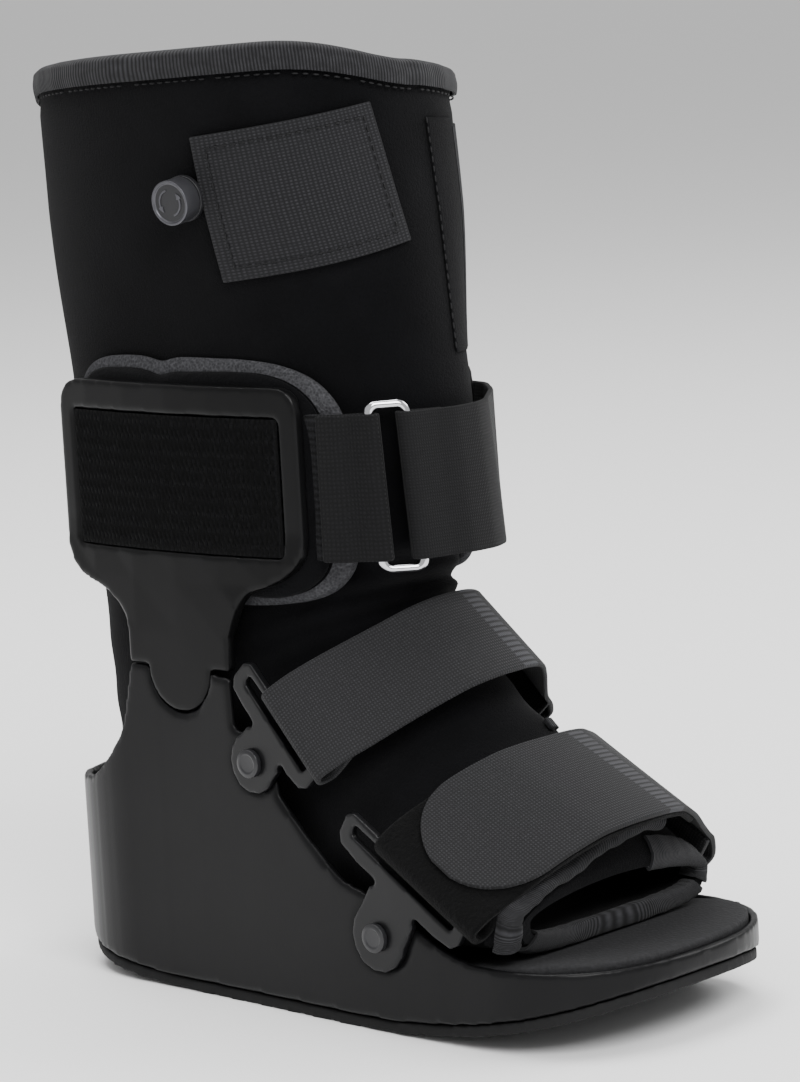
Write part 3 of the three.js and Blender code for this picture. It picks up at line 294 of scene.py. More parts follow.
@dataclass(frozen=True)
class HookTape(Finish):
    """Hook tape: columns of stiff hooks that lean left and right in turn, so they zig-zag."""

    column_mm: float = 2.1

    def relief(self, tree: bpy.types.NodeTree) -> tuple[bpy.types.NodeSocket, bpy.types.NodeSocket]:
        """Columns of hooks on the tape's own map, broken up into single hooks.

        Args:
            tree: the material's nodes.

        Returns:
            What mixes the colours, and the height.
        """
        place = add(tree, "ShaderNodeTexCoord").outputs["UV"]
        column = add(tree, "ShaderNodeTexWave", {
            "Vector": place, "Scale": bands(self.column_mm), "Distortion": 3.2, "Detail": 1.5,
            "Detail Scale": 2.2}, bands_direction="X")
        hook = add(tree, "ShaderNodeTexNoise", {"Vector": place, "Scale": grains(0.8), "Detail": 4.0})
        both = add(tree, "ShaderNodeMath", {
            0: column.outputs["Fac"], 1: hook.outputs["Fac"]}, operation="MULTIPLY")
        return both.outputs[0], both.outputs[0]


@dataclass(frozen=True)
class Knit(Finish):
    """Knitted edge binding: fine ribs across the tape, pulled over the edge."""

    rib_mm: float = 0.95

    def relief(self, tree: bpy.types.NodeTree) -> tuple[bpy.types.NodeSocket, bpy.types.NodeSocket]:
        """Ribs on the binding's own map, whose first coordinate runs along the edge.

        Args:
            tree: the material's nodes.

        Returns:
            What mixes the colours, and the height.
        """
        place = add(tree, "ShaderNodeTexCoord").outputs["UV"]
        rib = add(tree, "ShaderNodeTexWave", {
            "Vector": place, "Scale": bands(self.rib_mm), "Distortion": 0.8, "Detail": 2.0},
            bands_direction="X")
        uneven = add(tree, "ShaderNodeTexNoise", {"Vector": place, "Scale": grains(3), "Detail": 4.0})
        both = add(tree, "ShaderNodeMath", {
            0: rib.outputs["Fac"], 1: uneven.outputs["Fac"]}, operation="MULTIPLY")
        return both.outputs[0], rib.outputs["Fac"]


@dataclass(frozen=True)
class Speckled(Finish):
    """Pressed felt or cellular foam: small light and dark flecks."""

    fleck_mm: float = 1.1

    def relief(self, tree: bpy.types.NodeTree) -> tuple[bpy.types.NodeSocket, bpy.types.NodeSocket]:
        """Flecks from the distance between cells, at the size of the fibres or bubbles.

        Args:
            tree: the material's nodes.

        Returns:
            What mixes the colours, and the height.
        """
        place = add(tree, "ShaderNodeTexCoord").outputs["Object"]
        cells = add(tree, "ShaderNodeTexVoronoi", {"Vector": place, "Scale": grains(self.fleck_mm)})
        noise = add(tree, "ShaderNodeTexNoise", {
            "Vector": place, "Scale": grains(self.fleck_mm * 0.8), "Detail": 4.0})
        both = add(tree, "ShaderNodeMath", {
            0: cells.outputs["Distance"], 1: noise.outputs["Fac"]}, operation="MULTIPLY")
        return both.outputs[0], both.outputs[0]


# Glass-filled nylon from a finely grained mould: dull satin black, with a painted highlight on the edges.
SHELL = MouldedNylon("nylon_shell_satin", "070708", "121213", roughness=0.34, ior=1.53, specular=0.12,
                     depth_mm=0.035)
# The same nylon from a smoother mould: a slightly clearer highlight.
STRUT = MouldedNylon("nylon_strut_satin", "070707", "101011", roughness=0.32, ior=1.53, specular=0.12,
                     depth_mm=0.03)
# Small nylon mouldings: a thin bright line along their edges.
LOOP = MouldedNylon("nylon_loop_satin", "080808", "161618", roughness=0.32, ior=1.53, specular=0.2,
                    depth_mm=0.025)
# Pressed nylon rivet heads: smooth, and a shade lighter than the shell.
RIVET = MouldedNylon("nylon_rivet_smooth", "1a1a1c", "262628", roughness=0.32, ior=1.53, specular=0.36,
                     depth_mm=0.02)
# Moulded tread rubber: matt and almost black.
RUBBER = MouldedNylon("rubber_tread_matt", "0a0a0a", "131314", roughness=0.8, ior=1.52,
                      specular=0.25, depth_mm=0.08, grain_mm=0.9)
# Pressed cellular foam: dull dark grey, flecked where its bubbles are cut.
FOAM = Speckled("eva_foam_footbed", "19191a", "2c2c2e", roughness=0.92, specular=0.25, depth_mm=0.25,
                fleck_mm=1.3)
# Brushed loop cloth on foam: takes up nearly all light. Its fuzz is drawn coarser than its threads.
CLOTH = BrushedCloth("loop_cloth_liner", "040405", "131315", roughness=0.96, specular=0.06,
                     sheen=0.03, depth_mm=0.45)
# The same cloth over the cushion of a strut pad, drawn a little coarser.
PAD = BrushedCloth("loop_cloth_pad", "040405", "121214", roughness=0.96, specular=0.06, sheen=0.03,
                   depth_mm=0.5, fuzz_mm=1.1)
# Pressed grey felt: light and dark fibres in small specks.
FELT = Speckled("grey_felt_pad_edge", "252527", "5a5a5d", roughness=0.97, specular=0.1, depth_mm=0.4,
                fleck_mm=1.0)
# Woven label cloth: grey-black with a fine grid. Its yarns are drawn coarser than real to show.
LABEL = Woven("woven_label_twill", "111113", "3a3a3d", roughness=0.85, specular=0.2, sheen=0.04,
              depth_mm=0.16, warp_mm=1.0, weft_mm=1.5)
# Woven webbing with a sewn band of ridges. Its yarns are drawn coarser than real to show.
TAB = Woven("webbing_calf_tab", "060607", "1a1a1c", roughness=0.86, specular=0.18, sheen=0.03,
            depth_mm=0.25, warp_mm=1.5, weft_mm=1.3, band_mm=(14, 23))
# Tightly woven webbing: darker and smoother than the foot straps.
CALF = Woven("webbing_calf_strap", "0b0b0c", "1b1b1d", roughness=0.85, specular=0.18, sheen=0.03,
             depth_mm=0.14)
# Loop-faced webbing: soft dark grey, with a sewn band of ridges over the instep.
ANKLE = Woven("webbing_ankle_strap", "19191a", "3a3a3d", roughness=0.88, specular=0.2, sheen=0.05,
              depth_mm=0.2, warp_mm=1.2, weft_mm=1.0, band_mm=(101, 110))
# The same webbing on the toe strap.
TOE = Woven("webbing_toe_strap", "171718", "38383b", roughness=0.88, specular=0.2, sheen=0.05,
            depth_mm=0.2, warp_mm=1.2, weft_mm=1.0, band_mm=(76, 86))
# Moulded hook tape: black columns of stiff hooks that glint a little.
HOOK = HookTape("hook_tape_black", "010101", "111113", roughness=0.7, specular=0.08, depth_mm=0.9)
# Long loop pile: black, deep and fuzzy.
PILE = BrushedCloth("pile_tape_black", "020202", "0f0f10", roughness=0.95, specular=0.08,
                    sheen=0.04, depth_mm=0.9, fuzz_mm=1.6)
# Knitted edge tape: soft grey ribs. They are drawn coarser than real to show.
BINDING = Knit("knit_binding_grey", "111112", "3c3c3f", roughness=0.9, specular=0.15, sheen=0.05,
               depth_mm=0.18)
# Polyester sewing thread: dark and slightly shiny.
THREAD = Finish("polyester_thread_dark", "040405", "0e0e10", roughness=0.6, specular=0.25)
# Chromed and polished steel wire: a bright mirror.
CHROME = MouldedNylon("steel_wire_chromed", "d9d9db", "c4c4c8", roughness=0.1, spread=0.04,
                      metallic=1.0, depth_mm=0.004)
# ABS with a metallised skin: dull silver grey.
KNOB = MouldedNylon("metallised_abs_knob", "3c3c40", "58585c", roughness=0.34, metallic=0.7,
                    depth_mm=0.02)
# Bare ABS inside the rim of the knob: dark satin.
KNOB_FACE = MouldedNylon("abs_knob_face", "161618", "222224", roughness=0.4, specular=0.3, depth_mm=0.03)


def drop_selection() -> None:
    """Deselects every object."""
    if bpy.context.object and bpy.context.object.mode != "OBJECT":
        bpy.ops.object.mode_set(mode="OBJECT")
    bpy.ops.object.select_all(action="DESELECT")


def pick(piece: bpy.types.Object) -> None:
    """Makes a piece the only selected object, and the active one.

    Args:
        piece: the object.
    """
    drop_selection()
    piece.select_set(True)
    bpy.context.view_layer.objects.active = piece


def corners_of(piece: bpy.types.Object) -> np.ndarray:
    """The mesh's vertices in millimetres, one row each.

    Args:
        piece: the object that is read.

    Returns:
        Their places.
    """
    flat = np.empty(len(piece.data.vertices) * 3)
    piece.data.vertices.foreach_get("co", flat)
    return flat.reshape(-1, 3) / MM


def put_corners(piece: bpy.types.Object, points: np.ndarray) -> None:
    """Moves the mesh's vertices to places in millimetres.

    Args:
        piece: the object that is changed.
        points: one row for each vertex.
    """
    piece.data.vertices.foreach_set("co", (points * MM).ravel())
    piece.data.update()


def modify(piece: bpy.types.Object, kind: str, **settings) -> None:
    """Adds a modifier with its settings and applies it.

    Args:
        piece: the object that is changed.
        kind: the modifier's type.
        settings: the modifier's own properties.
    """
    pick(piece)
    made = piece.modifiers.new(kind.title(), kind)
    for key, value in settings.items():
        setattr(made, key, value)
    bpy.ops.object.modifier_apply(modifier=made.name)


def tidy_faces(piece: bpy.types.Object, merge_mm: float = 0.02) -> None:
    """Merges doubled points and turns all faces outwards.

    Args:
        piece: the object that is changed.
        merge_mm: how close two points lie that become one.
    """
    pick(piece)
    bpy.ops.object.mode_set(mode="EDIT")
    bpy.ops.mesh.select_all(action="SELECT")
    bpy.ops.mesh.remove_doubles(threshold=merge_mm * MM)
    bpy.ops.mesh.normals_make_consistent(inside=False)
    bpy.ops.object.mode_set(mode="OBJECT")


def smooth(piece: bpy.types.Object, degrees: float = 40) -> None:
    """Shades a piece smooth, up to an angle between faces.

    Args:
        piece: the object that is changed.
        degrees: the largest angle that is shaded smooth.
    """
    pick(piece)
    bpy.ops.object.shade_smooth_by_angle(angle=math.radians(degrees))


def dress(piece: bpy.types.Object, finish: Finish, slot: str, *nodes: str,
          body: str = "boot") -> bpy.types.Object:
    """Gives a piece its finish and body, and hides the nodes of the frame that it stands for.

    Args:
        piece: the finished piece.
        finish: its surface.
        slot: the record's material slot; not used.
        nodes: the nodes of the frame that it replaces.
        body: the body that it rides on.

    Returns:
        The same piece.
    """
    if not piece.data.materials:
        piece.data.materials.append(finish.material())
    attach(piece, body)
    if nodes:
        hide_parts(*nodes)
    LOG.info("%s: %d faces, stands for %s", piece.name, len(piece.data.polygons), nodes)
    return piece


def grid_piece(name: str, columns: int, rows: int, place: Place) -> bpy.types.Object:
    """Lays a flat grid onto a surface, with a map in real metres.

    Args:
        name: the piece's name.
        columns: faces along the first direction.
        rows: faces along the second direction.
        place: gives points in millimetres, and their map, for two arrays of shares from 0 to 1.

    Returns:
        The open sheet.
    """
    drop_selection()
    bpy.ops.mesh.primitive_grid_add(x_subdivisions=columns, y_subdivisions=rows, size=2)
    piece = bpy.context.object
    piece.name = piece.data.name = name
    flat = corners_of(piece) * MM
    points, spread = place((flat[:, 0] + 1) / 2, (flat[:, 1] + 1) / 2)
    put_corners(piece, points + SHIFT)
    layer = piece.data.uv_layers[0] if piece.data.uv_layers else piece.data.uv_layers.new(name="map")
    index = np.empty(len(piece.data.loops), int)
    piece.data.loops.foreach_get("vertex_index", index)
    layer.data.foreach_set("uv", (spread[index] * MM).ravel())
    return piece


def thicken(piece: bpy.types.Object, thick: float, edge: float = 0.5) -> bpy.types.Object:
    """Turns a sheet into a slab of cloth with soft edges.

    Args:
        piece: the open sheet, in the middle of its thickness.
        thick: the cloth's thickness in millimetres.
        edge: the radius of its edges.

    Returns:
        The same piece.
    """
    tidy_faces(piece)
    modify(piece, "SOLIDIFY", thickness=thick * MM, offset=0, use_even_offset=True)
    modify(piece, "BEVEL", width=min(edge, thick * 0.4) * MM, segments=2, limit_method="ANGLE",
           angle_limit=math.radians(50))
    tidy_faces(piece)
    smooth(piece, 55)
    return piece


def merged_copy(name: str, node: str) -> bpy.types.Object:
    """A copy of a node of the frame with its loose triangles merged.

    Args:
        name: the copy's name.
        node: the node that is copied.

    Returns:
        The copy, bare of materials.
    """
    made = bpy.data.objects.new(name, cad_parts[node].data.copy())
    made.data.name = name
    made.data.materials.clear()
    bpy.context.scene.collection.objects.link(made)
    pick(made)
    if made.data.has_custom_normals:
        bpy.ops.mesh.customdata_custom_splitnormals_clear()
    bpy.ops.object.mode_set(mode="EDIT")
    bpy.ops.mesh.select_all(action="SELECT")
    bpy.ops.mesh.remove_doubles(threshold=1e-6)
    bpy.ops.object.mode_set(mode="OBJECT")
    return made


def ease(t: np.ndarray | float) -> np.ndarray:
    """Smooth step from 0 to 1.

    Args:
        t: how far through the step.

    Returns:
        The eased share.
    """
    t = np.clip(t, 0, 1)
    return t * t * (3 - 2 * t)


def curve_through(rows: np.ndarray, share: np.ndarray) -> np.ndarray:
    """Points of a smooth curve through rows, by share of the way along its spans.

    Args:
        rows: the curve's own points.
        share: where on the curve, from 0 to 1.

    Returns:
        One point for each share.
    """
    last = len(rows) - 1
    spot = np.clip(share, 0, 1) * last
    i = np.minimum(spot.astype(int), last - 1)
    w = (spot - i)[:, None]
    far = np.vstack([2 * rows[0] - rows[1], rows, 2 * rows[-1] - rows[-2]])
    p0, p1, p2, p3 = far[i], far[i + 1], far[i + 2], far[i + 3]
    a, b, c = (np.maximum(np.sqrt(np.linalg.norm(q - p, axis=1))[:, None], 1e-4)
               for p, q in ((p0, p1), (p1, p2), (p2, p3)))
    t1 = ((p1 - p0) / a - (p2 - p0) / (a + b) + (p2 - p1) / b) * b
    t2 = ((p2 - p1) / b - (p3 - p1) / (b + c) + (p3 - p2) / c) * b
    return p1 + t1 * w + (-3 * p1 + 3 * p2 - 2 * t1 - t2) * w ** 2 + (2 * p1 - 2 * p2 + t1 + t2) * w ** 3


@dataclass
class Sole:
    """The sole's plan, which the shell, outsole and footbed share."""

    length: float = 268
    width: float = 118
    heel_width: float = 102
    toe_round: float = 48
    heel_round: float = 50

    def half_at(self, y: np.ndarray) -> np.ndarray:
        """Half the width at places along the sole.

        Args:
            y: the places.

        Returns:
            One half width for each.
        """
        toe, heel = -self.length / 2 + self.toe_round, self.length / 2 - self.heel_round
        a, b = self.width / 2, self.heel_width / 2
        front = a * (1 - np.clip((toe - y) / self.toe_round, 0, 1) ** 2.4) ** (1 / 2.4)
        rear = b * (1 - np.clip((y - heel) / self.heel_round, 0, 1) ** 2.2) ** (1 / 2.2)
        side = b + (a - b) * ease((heel - y) / (heel - toe))
        return np.where(y < toe, front, np.where(y > heel, rear, side))

    def outline(self, ends: int, sides: int) -> np.ndarray:
        """The plan as a loop of points, with a number of steps at each end and side.

        Args:
            ends: steps on each quarter of an end.
            sides: steps along a side.

        Returns:
            The points, one row each.
        """
        toe, heel = -self.length / 2 + self.toe_round, self.length / 2 - self.heel_round
        turn = np.arange(ends) / ends * math.pi / 2
        back = np.arange(ends - 1, -1, -1) / ends * math.pi / 2
        y = np.linspace(toe, heel, sides + 1)
        half = np.vstack([
            np.c_[self.width / 2 * np.sin(turn) ** (2 / 2.4),
                  toe - self.toe_round * np.cos(turn) ** (2 / 2.4)],
            np.c_[self.half_at(y), y],
            np.c_[self.heel_width / 2 * np.sin(back) ** (2 / 2.2),
                  heel + self.heel_round * np.cos(back) ** (2 / 2.2)]])
        return np.vstack([half, half[1:-1][::-1] * [-1, 1]])

    def round_off(self, piece: bpy.types.Object) -> None:
        """Moves the flats of the frame's walls out onto the true round plan.

        Args:
            piece: the object that is changed.
        """
        flat, fine = self.outline(9, 9), self.outline(90, 90)
        spots, out = [], []
        for p, q in zip(flat, np.roll(flat, -1, axis=0)):
            along = (q - p) / np.linalg.norm(q - p)
            share = (np.arange(10) + 0.5)[:, None] / 10
            spots.append(p + (q - p) * share)
            out.append(np.tile([along[1], -along[0]], (10, 1)))
        spots, out = np.vstack(spots), np.vstack(out)
        reach = fine[np.linalg.norm(spots[:, None] - fine[None], axis=2).argmin(1)] - spots
        push = np.einsum("ij,ij->i", reach, out)[:, None] * out
        points = corners_of(piece)
        plan = points[:, :2] - SHIFT[:2]
        for start in range(0, len(plan), 20000):
            part = plan[start:start + 20000]
            away = np.linalg.norm(part[:, None] - spots[None], axis=2)
            near = away.argmin(1)
            keep = 1 - ease((away[np.arange(len(part)), near] - 6) / 8)
            points[start:start + 20000, :2] += push[near] * keep[:, None]
        put_corners(piece, points)


@dataclass
class Mouldings:
    """The hard plastic: shell, struts, strap loops, rivets, outsole and the foam footbed."""

    sole: Sole = field(default_factory=Sole)
    rivet_radius: float = 5
    pieces: tuple[tuple[str, str, float, int, Finish, str, bool], ...] = (
        # name, node, voxel, smoothing, finish, slot, follows the sole's plan
        ("shell_moulding", "shell", 1.3, 5, SHELL, "shell_plastic", True),
        ("strut_frame_right", "strut_right", 0.85, 6, STRUT, "shell_plastic", False),
        ("strut_frame_left", "strut_left", 0.85, 6, STRUT, "shell_plastic", False),
        ("strap_loop_ankle_right", "loop_ankle_right", 0.55, 4, LOOP, "shell_plastic", False),
        ("strap_loop_ankle_left", "loop_ankle_left", 0.55, 4, LOOP, "shell_plastic", False),
        ("strap_loop_toe_right", "loop_toe_right", 0.6, 4, LOOP, "shell_plastic", False),
        ("strap_loop_toe_left", "loop_toe_left", 0.6, 4, LOOP, "shell_plastic", False),
        ("tread_outsole", "outsole", 0.9, 2, RUBBER, "outsole_rubber", True),
        ("foam_footbed", "footbed", 1.4, 6, FOAM, "footbed_foam", True),
    )

    def moulding(self, name: str, node: str, voxel: float, rounds: int, follows: bool) -> bpy.types.Object:
        """A node of the frame with true round walls and softened edges.

        Args:
            name: the piece's name.
            node: the node it is made from.
            voxel: the size of its even faces, in millimetres.
            rounds: how often its faces are relaxed, which rounds the edges.
            follows: whether its walls follow the sole's plan.

        Returns:
            The dense, even mesh.
        """
        piece = merged_copy(name, node)
        modify(piece, "REMESH", mode="VOXEL", voxel_size=voxel * MM, use_smooth_shade=True)
        if follows:
            self.sole.round_off(piece)
        modify(piece, "SMOOTH", factor=0.5, iterations=rounds)
        return piece

    def rivet(self, name: str, node: str, side: Side) -> bpy.types.Object:
        """A flat-topped rivet head with a turned ring, where the frame has it.

        Args:
            name: the piece's name.
            node: the node it stands for.
            side: which side of the boot it is on.

        Returns:
            The rivet head.
        """
        low, high = (np.array(c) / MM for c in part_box(node))
        middle = (low + high) / 2
        face = high[0] if side is Side.RIGHT else low[0]
        drop_selection()
        bpy.ops.mesh.primitive_cylinder_add(vertices=48, radius=self.rivet_radius * MM, depth=2 * MM)
        piece = bpy.context.object
        piece.name = piece.data.name = name
        bpy.ops.object.mode_set(mode="EDIT")
        bpy.ops.mesh.select_mode(type="FACE")
        bpy.ops.mesh.select_all(action="DESELECT")
        bpy.ops.object.mode_set(mode="OBJECT")
        for flat in piece.data.polygons:
            flat.select = flat.normal.z > 0.9
        bpy.ops.object.mode_set(mode="EDIT")
        bpy.ops.mesh.inset(thickness=1.5 * MM)
        bpy.ops.transform.translate(value=(0, 0, 0.35 * MM))
        bpy.ops.mesh.inset(thickness=0.4 * MM)
        bpy.ops.transform.translate(value=(0, 0, -0.35 * MM))
        bpy.ops.object.mode_set(mode="OBJECT")
        modify(piece, "BEVEL", width=0.35 * MM, segments=3, limit_method="ANGLE",
               angle_limit=math.radians(30))
        out = -1 if side is Side.RIGHT else 1
        turn = Matrix.Rotation(math.pi / 2 * out, 4, "Y")
        seat = Matrix.Translation(Vector(((face + out * 1.0) * MM, middle[1] * MM, middle[2] * MM)))
        piece.data.transform(seat @ turn)
        smooth(piece, 40)
        return piece

    def build(self) -> None:
        """Makes and dresses every hard piece and the footbed."""
        for name, node, voxel, rounds, finish, slot, follows in self.pieces:
            piece = self.moulding(name, node, voxel, rounds, follows)
            dress(piece, finish, slot, node)
        for side in Side:
            for where in ("ankle", "toe"):
                tag = f"{where}_{side.name.lower()}"
                dress(self.rivet(f"rivet_head_{tag}", f"rivet_{tag}", side), RIVET,
                      "rivet_plastic", f"rivet_{tag}")


@dataclass
class Form:
    """The bootie's outer form: sections from the rim, station 0, to the toe opening, station 1."""

    length: float = 268
    height: float = 321
    width: float = 118
    wall: float = 7
    toe_wall: float = 4
    near_arch: float = 14
    far_arch: float = 1.5
    far_dip: float = 10
    front_arch: float = 3.8
    rows: tuple[tuple[float, ...], ...] = (
        # front y and z, back y and z, half width, squareness in front and at the back
        (-.09, .99, .506, .966, .475, 2.3, 2.3), (-.105, .85, .516, .83, .44, 2.3, 2.3),
        (-.122, .7, .52, .665, .35, 2.2, 2.3), (-.137, .6, .508, .54, .33, 2.2, 2.3),
        (-.122, .52, .482, .42, .332, 2.2, 2.4), (-.088, .462, .46, .32, .347, 2.2, 2.5),
        (-.085, .425, .45, .225, .362, 2.2, 2.6), (-.11, .39, .445, .15, .37, 2.2, 2.8),
        (-.142, .36, .42, .099, .378, 2.2, 3), (-.172, .334, .33, .08, .388, 2.1, 3.2),
        (-.198, .31, .16, .0745, .4, 2.1, 3.4), (-.23, .28, 0, .0745, .412, 2.1, 3.8),
        (-.282, .25, -.16, .076, .42, 2, 4), (-.33, .208, -.28, .087, .42, 1.9, 4.2),
        (-.362, .166, -.355, .0985, .41, 1.8, 4.5))

    def point(self, station: np.ndarray, turn: np.ndarray, swell: np.ndarray | float = 0) -> np.ndarray:
        """Points of the form, swollen outward.

        Args:
            station: from 0 at the rim to 1 at the toe opening.
            turn: round the section, 0 at the calf or sole and pi at the shin or instep.
            swell: how far the points stand off the form.

        Returns:
            One point for each station and turn.
        """
        station, turn, swell = np.broadcast_arrays(
            np.asarray(station, float), np.asarray(turn, float), np.asarray(swell, float))
        shape = station.shape
        station, turn, swell = station.ravel(), turn.ravel(), swell.ravel()
        table = np.array(self.rows)
        zero = np.zeros(len(table))
        front = curve_through(np.c_[zero, table[:, 0] * self.length, table[:, 1] * self.height], station)
        back = curve_through(np.c_[zero, table[:, 2] * self.length, table[:, 3] * self.height], station)
        girth = curve_through(np.c_[table[:, 4] * self.width, table[:, 5], table[:, 6]], station)
        axis = back - front
        reach = np.linalg.norm(axis, axis=1)
        axis /= reach[:, None]
        c, s = np.cos(turn), np.sin(turn)
        power = 2 / np.where(c < 0, girth[:, 1], girth[:, 2])
        beside, ahead = np.abs(s), np.clip(-c, 0, 1)
        near = self.near_arch * (ease(beside / 0.8) + beside) / 2
        far = self.far_arch * beside ** 1.6 - self.far_dip * beside * ahead
        arch = np.where(s < 0, near, far) + self.front_arch * ahead ** 2
        lift = np.maximum(0, 1 - station / 0.25) * arch
        out = (front + back) / 2 + axis * ((reach / 2 + swell) * np.sign(c) * np.abs(c) ** power)[:, None]
        out[:, 0] += (girth[:, 0] + swell) * np.sign(s) * np.abs(s) ** power
        out[:, 2] += lift
        return out.reshape(*shape, 3)

    def wall_at(self, station: np.ndarray) -> np.ndarray:
        """The padded wall's thickness at a station.

        Args:
            station: from 0 at the rim to 1 at the toe opening.

        Returns:
            The thickness in millimetres.
        """
        return self.wall + (self.toe_wall - self.wall) * ease((station - 0.7) / 0.3)


@dataclass
class Bootie:
    """The padded liner with its bindings, label, closure, toe flaps and stitches."""

    form: Form = field(default_factory=Form)
    # the last station of the shaft, and how far its form falls in one whole station
    shaft_end: float = 0.25
    fall: float = 660
    seam_mm: float = 3.4
    thread_mm: float = 0.75
    # flats round a section of the liner in the frame, by which its laps are placed
    facets: int = 28

    def softness(self, station: np.ndarray, turn: np.ndarray) -> np.ndarray:
        """How far the padding stands above the plain form: slow waves, and folds at the ankle.

        Args:
            station: from 0 at the rim to 1 at the toe opening.
            turn: round the section.

        Returns:
            One height for each point.
        """
        waves = 0.45 * np.sin(turn * 3 + station * 21) * np.sin(station * 34 + turn * 2)
        waves += 0.25 * np.sin(turn * 7 - station * 40 + 1.3)
        bend = np.exp(-((station - 0.36) / 0.07) ** 2) * np.clip(-np.cos(turn), 0, 1)
        folds = 1.5 * bend * (np.sin(station * 150 + np.cos(turn * 3)) - 0.9)
        heel = np.exp(-((station - 0.42) / 0.09) ** 2) * np.clip(np.cos(turn), 0, 1)
        return waves + folds + 0.5 * heel * (np.sin(station * 120) - 1) - 0.35

    def liner(self) -> bpy.types.Object:
        """The hollow bootie as one closed skin: outside, toe edge, inside and rim.

        Returns:
            The bootie.
        """

        def place(u: np.ndarray, v: np.ndarray) -> tuple[np.ndarray, np.ndarray]:
            """Lays the sheet round the section, down the outside and up the inside.

            Args:
                u: shares in the first direction.
                v: shares in the second direction.

            Returns:
                The points, and their map in millimetres.
            """
            turn = u * 2 * math.pi
            outside = v < 0.5
            station = np.clip(np.where(outside, v / 0.48, (1 - v) / 0.48), 0, 1)
            swell = np.where(outside, self.softness(station, turn), -self.form.wall_at(station))
            groove = np.exp(-((station - 0.014) / 0.0025) ** 2) * outside
            points = self.form.point(station, turn, swell - 0.5 * groove)
            return points, np.c_[turn * 50, station * 500]

        piece = grid_piece("liner_bootie", 168, 300, place)
        tidy_faces(piece)
        pick(piece)
        bpy.ops.object.mode_set(mode="EDIT")
        bpy.ops.mesh.select_all(action="DESELECT")
        bpy.ops.mesh.select_mode(type="EDGE")
        bpy.ops.mesh.select_non_manifold()
        bpy.ops.mesh.bridge_edge_loops()
        bpy.ops.mesh.select_all(action="SELECT")
        bpy.ops.mesh.normals_make_consistent(inside=False)
        bpy.ops.object.mode_set(mode="OBJECT")
        smooth(piece, 60)
        return piece

    def binding(self, name: str, end: int, reach: float, first: float, last: float) -> bpy.types.Object:
        """Knitted tape folded over an end of the liner.

        Args:
            name: the piece's name.
            end: the station of the edge, 0 or 1.
            reach: how far the tape comes down the wall, as a share of the stations.
            first: the turn where it starts.
            last: the turn where it ends.

        Returns:
            The tape, rounded over the edge.
        """
        form = self.form
        wall = float(form.wall_at(np.array(end)))
        near = 1 - reach if end else reach

        def place(u: np.ndarray, v: np.ndarray) -> tuple[np.ndarray, np.ndarray]:
            """Lays the tape along the edge and folds it over.

            Args:
                u: shares in the first direction.
                v: shares in the second direction.

            Returns:
                The points, and their map in millimetres.
            """
            turn = first + (last - first) * u
            along = form.point(end, turn) - form.point(near, turn)
            along /= np.linalg.norm(along, axis=1)[:, None]
            fold = np.clip((v - 0.3) / 0.4, 0, 1) * math.pi
            round_x = -wall / 2 + (wall / 2 + 0.9) * np.cos(fold)
            rise = (wall / 2 + 0.9) * 0.42 * np.sin(fold)
            share = np.where(v < 0.3, v / 0.3, np.where(v > 0.7, (1 - v) / 0.3, 1))
            puff = 0.5 * np.sin(share * math.pi) + 0.15 * np.sin(u * (last - first) * 33)
            swell = np.where(v < 0.5, round_x + puff, round_x - puff * 0.3)
            swell = np.where(share < 1, np.where(v < 0.5, 0.8, -wall - 0.8) + puff * np.sign(0.5 - v), swell)
            station = near + (end - near) * share
            points = form.point(station, turn, swell) + along * rise[:, None]
            return points, np.c_[u * (last - first) * 52, v * 24]

        count = max(60, int((last - first) * 52 / 1.6))
        piece = grid_piece(name, count, 30, place)
        return thicken(piece, 1.1)

    def spots(self, table: np.ndarray, u: np.ndarray, v: np.ndarray) -> np.ndarray:
        """Station and turn of points of a panel, whose edges on the shaft run straight.

        Args:
            table: station and turn of the panel's four corners.
            u: shares along its top.
            v: shares down its side.

        Returns:
            Station and turn, one row for each point.
        """
        def between(four: np.ndarray) -> np.ndarray:
            """Values between the corners' values.

            Args:
                four: one value or one row for each corner.

            Returns:
                One value or row for each point.
            """
            a, b = (u, v) if four.ndim == 1 else (u[:, None], v[:, None])
            return (four[0] * (1 - a) + four[1] * a) * (1 - b) + (four[2] * (1 - a) + four[3] * a) * b

        spot = between(table)
        if table[:, 0].max() < self.shaft_end:
            wanted = between(self.form.point(table[:, 0], table[:, 1])[:, 2])
            spot[:, 0] += (self.form.point(spot[:, 0], spot[:, 1])[:, 2] - wanted) / self.fall
        return spot

    def slab(self, name: str, corners: tuple[tuple[float, float], ...], rise: Callable, thick: float,
             columns: int, rows: int, size: tuple[float, float]) -> bpy.types.Object:
        """A cloth panel that lies on the form between four corners.

        Args:
            name: the piece's name.
            corners: station and turn of the top left, top right, low left and low right corner.
            rise: how far its underside stands off the form, from two arrays of shares.
            thick: its thickness.
            columns: faces along its top.
            rows: faces down its side.
            size: its width and height, for its map.

        Returns:
            The panel.
        """
        table = np.array(corners)

        def place(u: np.ndarray, v: np.ndarray) -> tuple[np.ndarray, np.ndarray]:
            """Lays the panel onto the form.

            Args:
                u: shares in the first direction.
                v: shares in the second direction.

            Returns:
                The points, and their map in millimetres.
            """
            spot = self.spots(table, u, v)
            points = self.form.point(spot[:, 0], spot[:, 1], rise(u, v) + thick / 2)
            return points, np.c_[u * size[0], v * size[1]]

        return thicken(grid_piece(name, columns, rows, place), thick, 0.7)

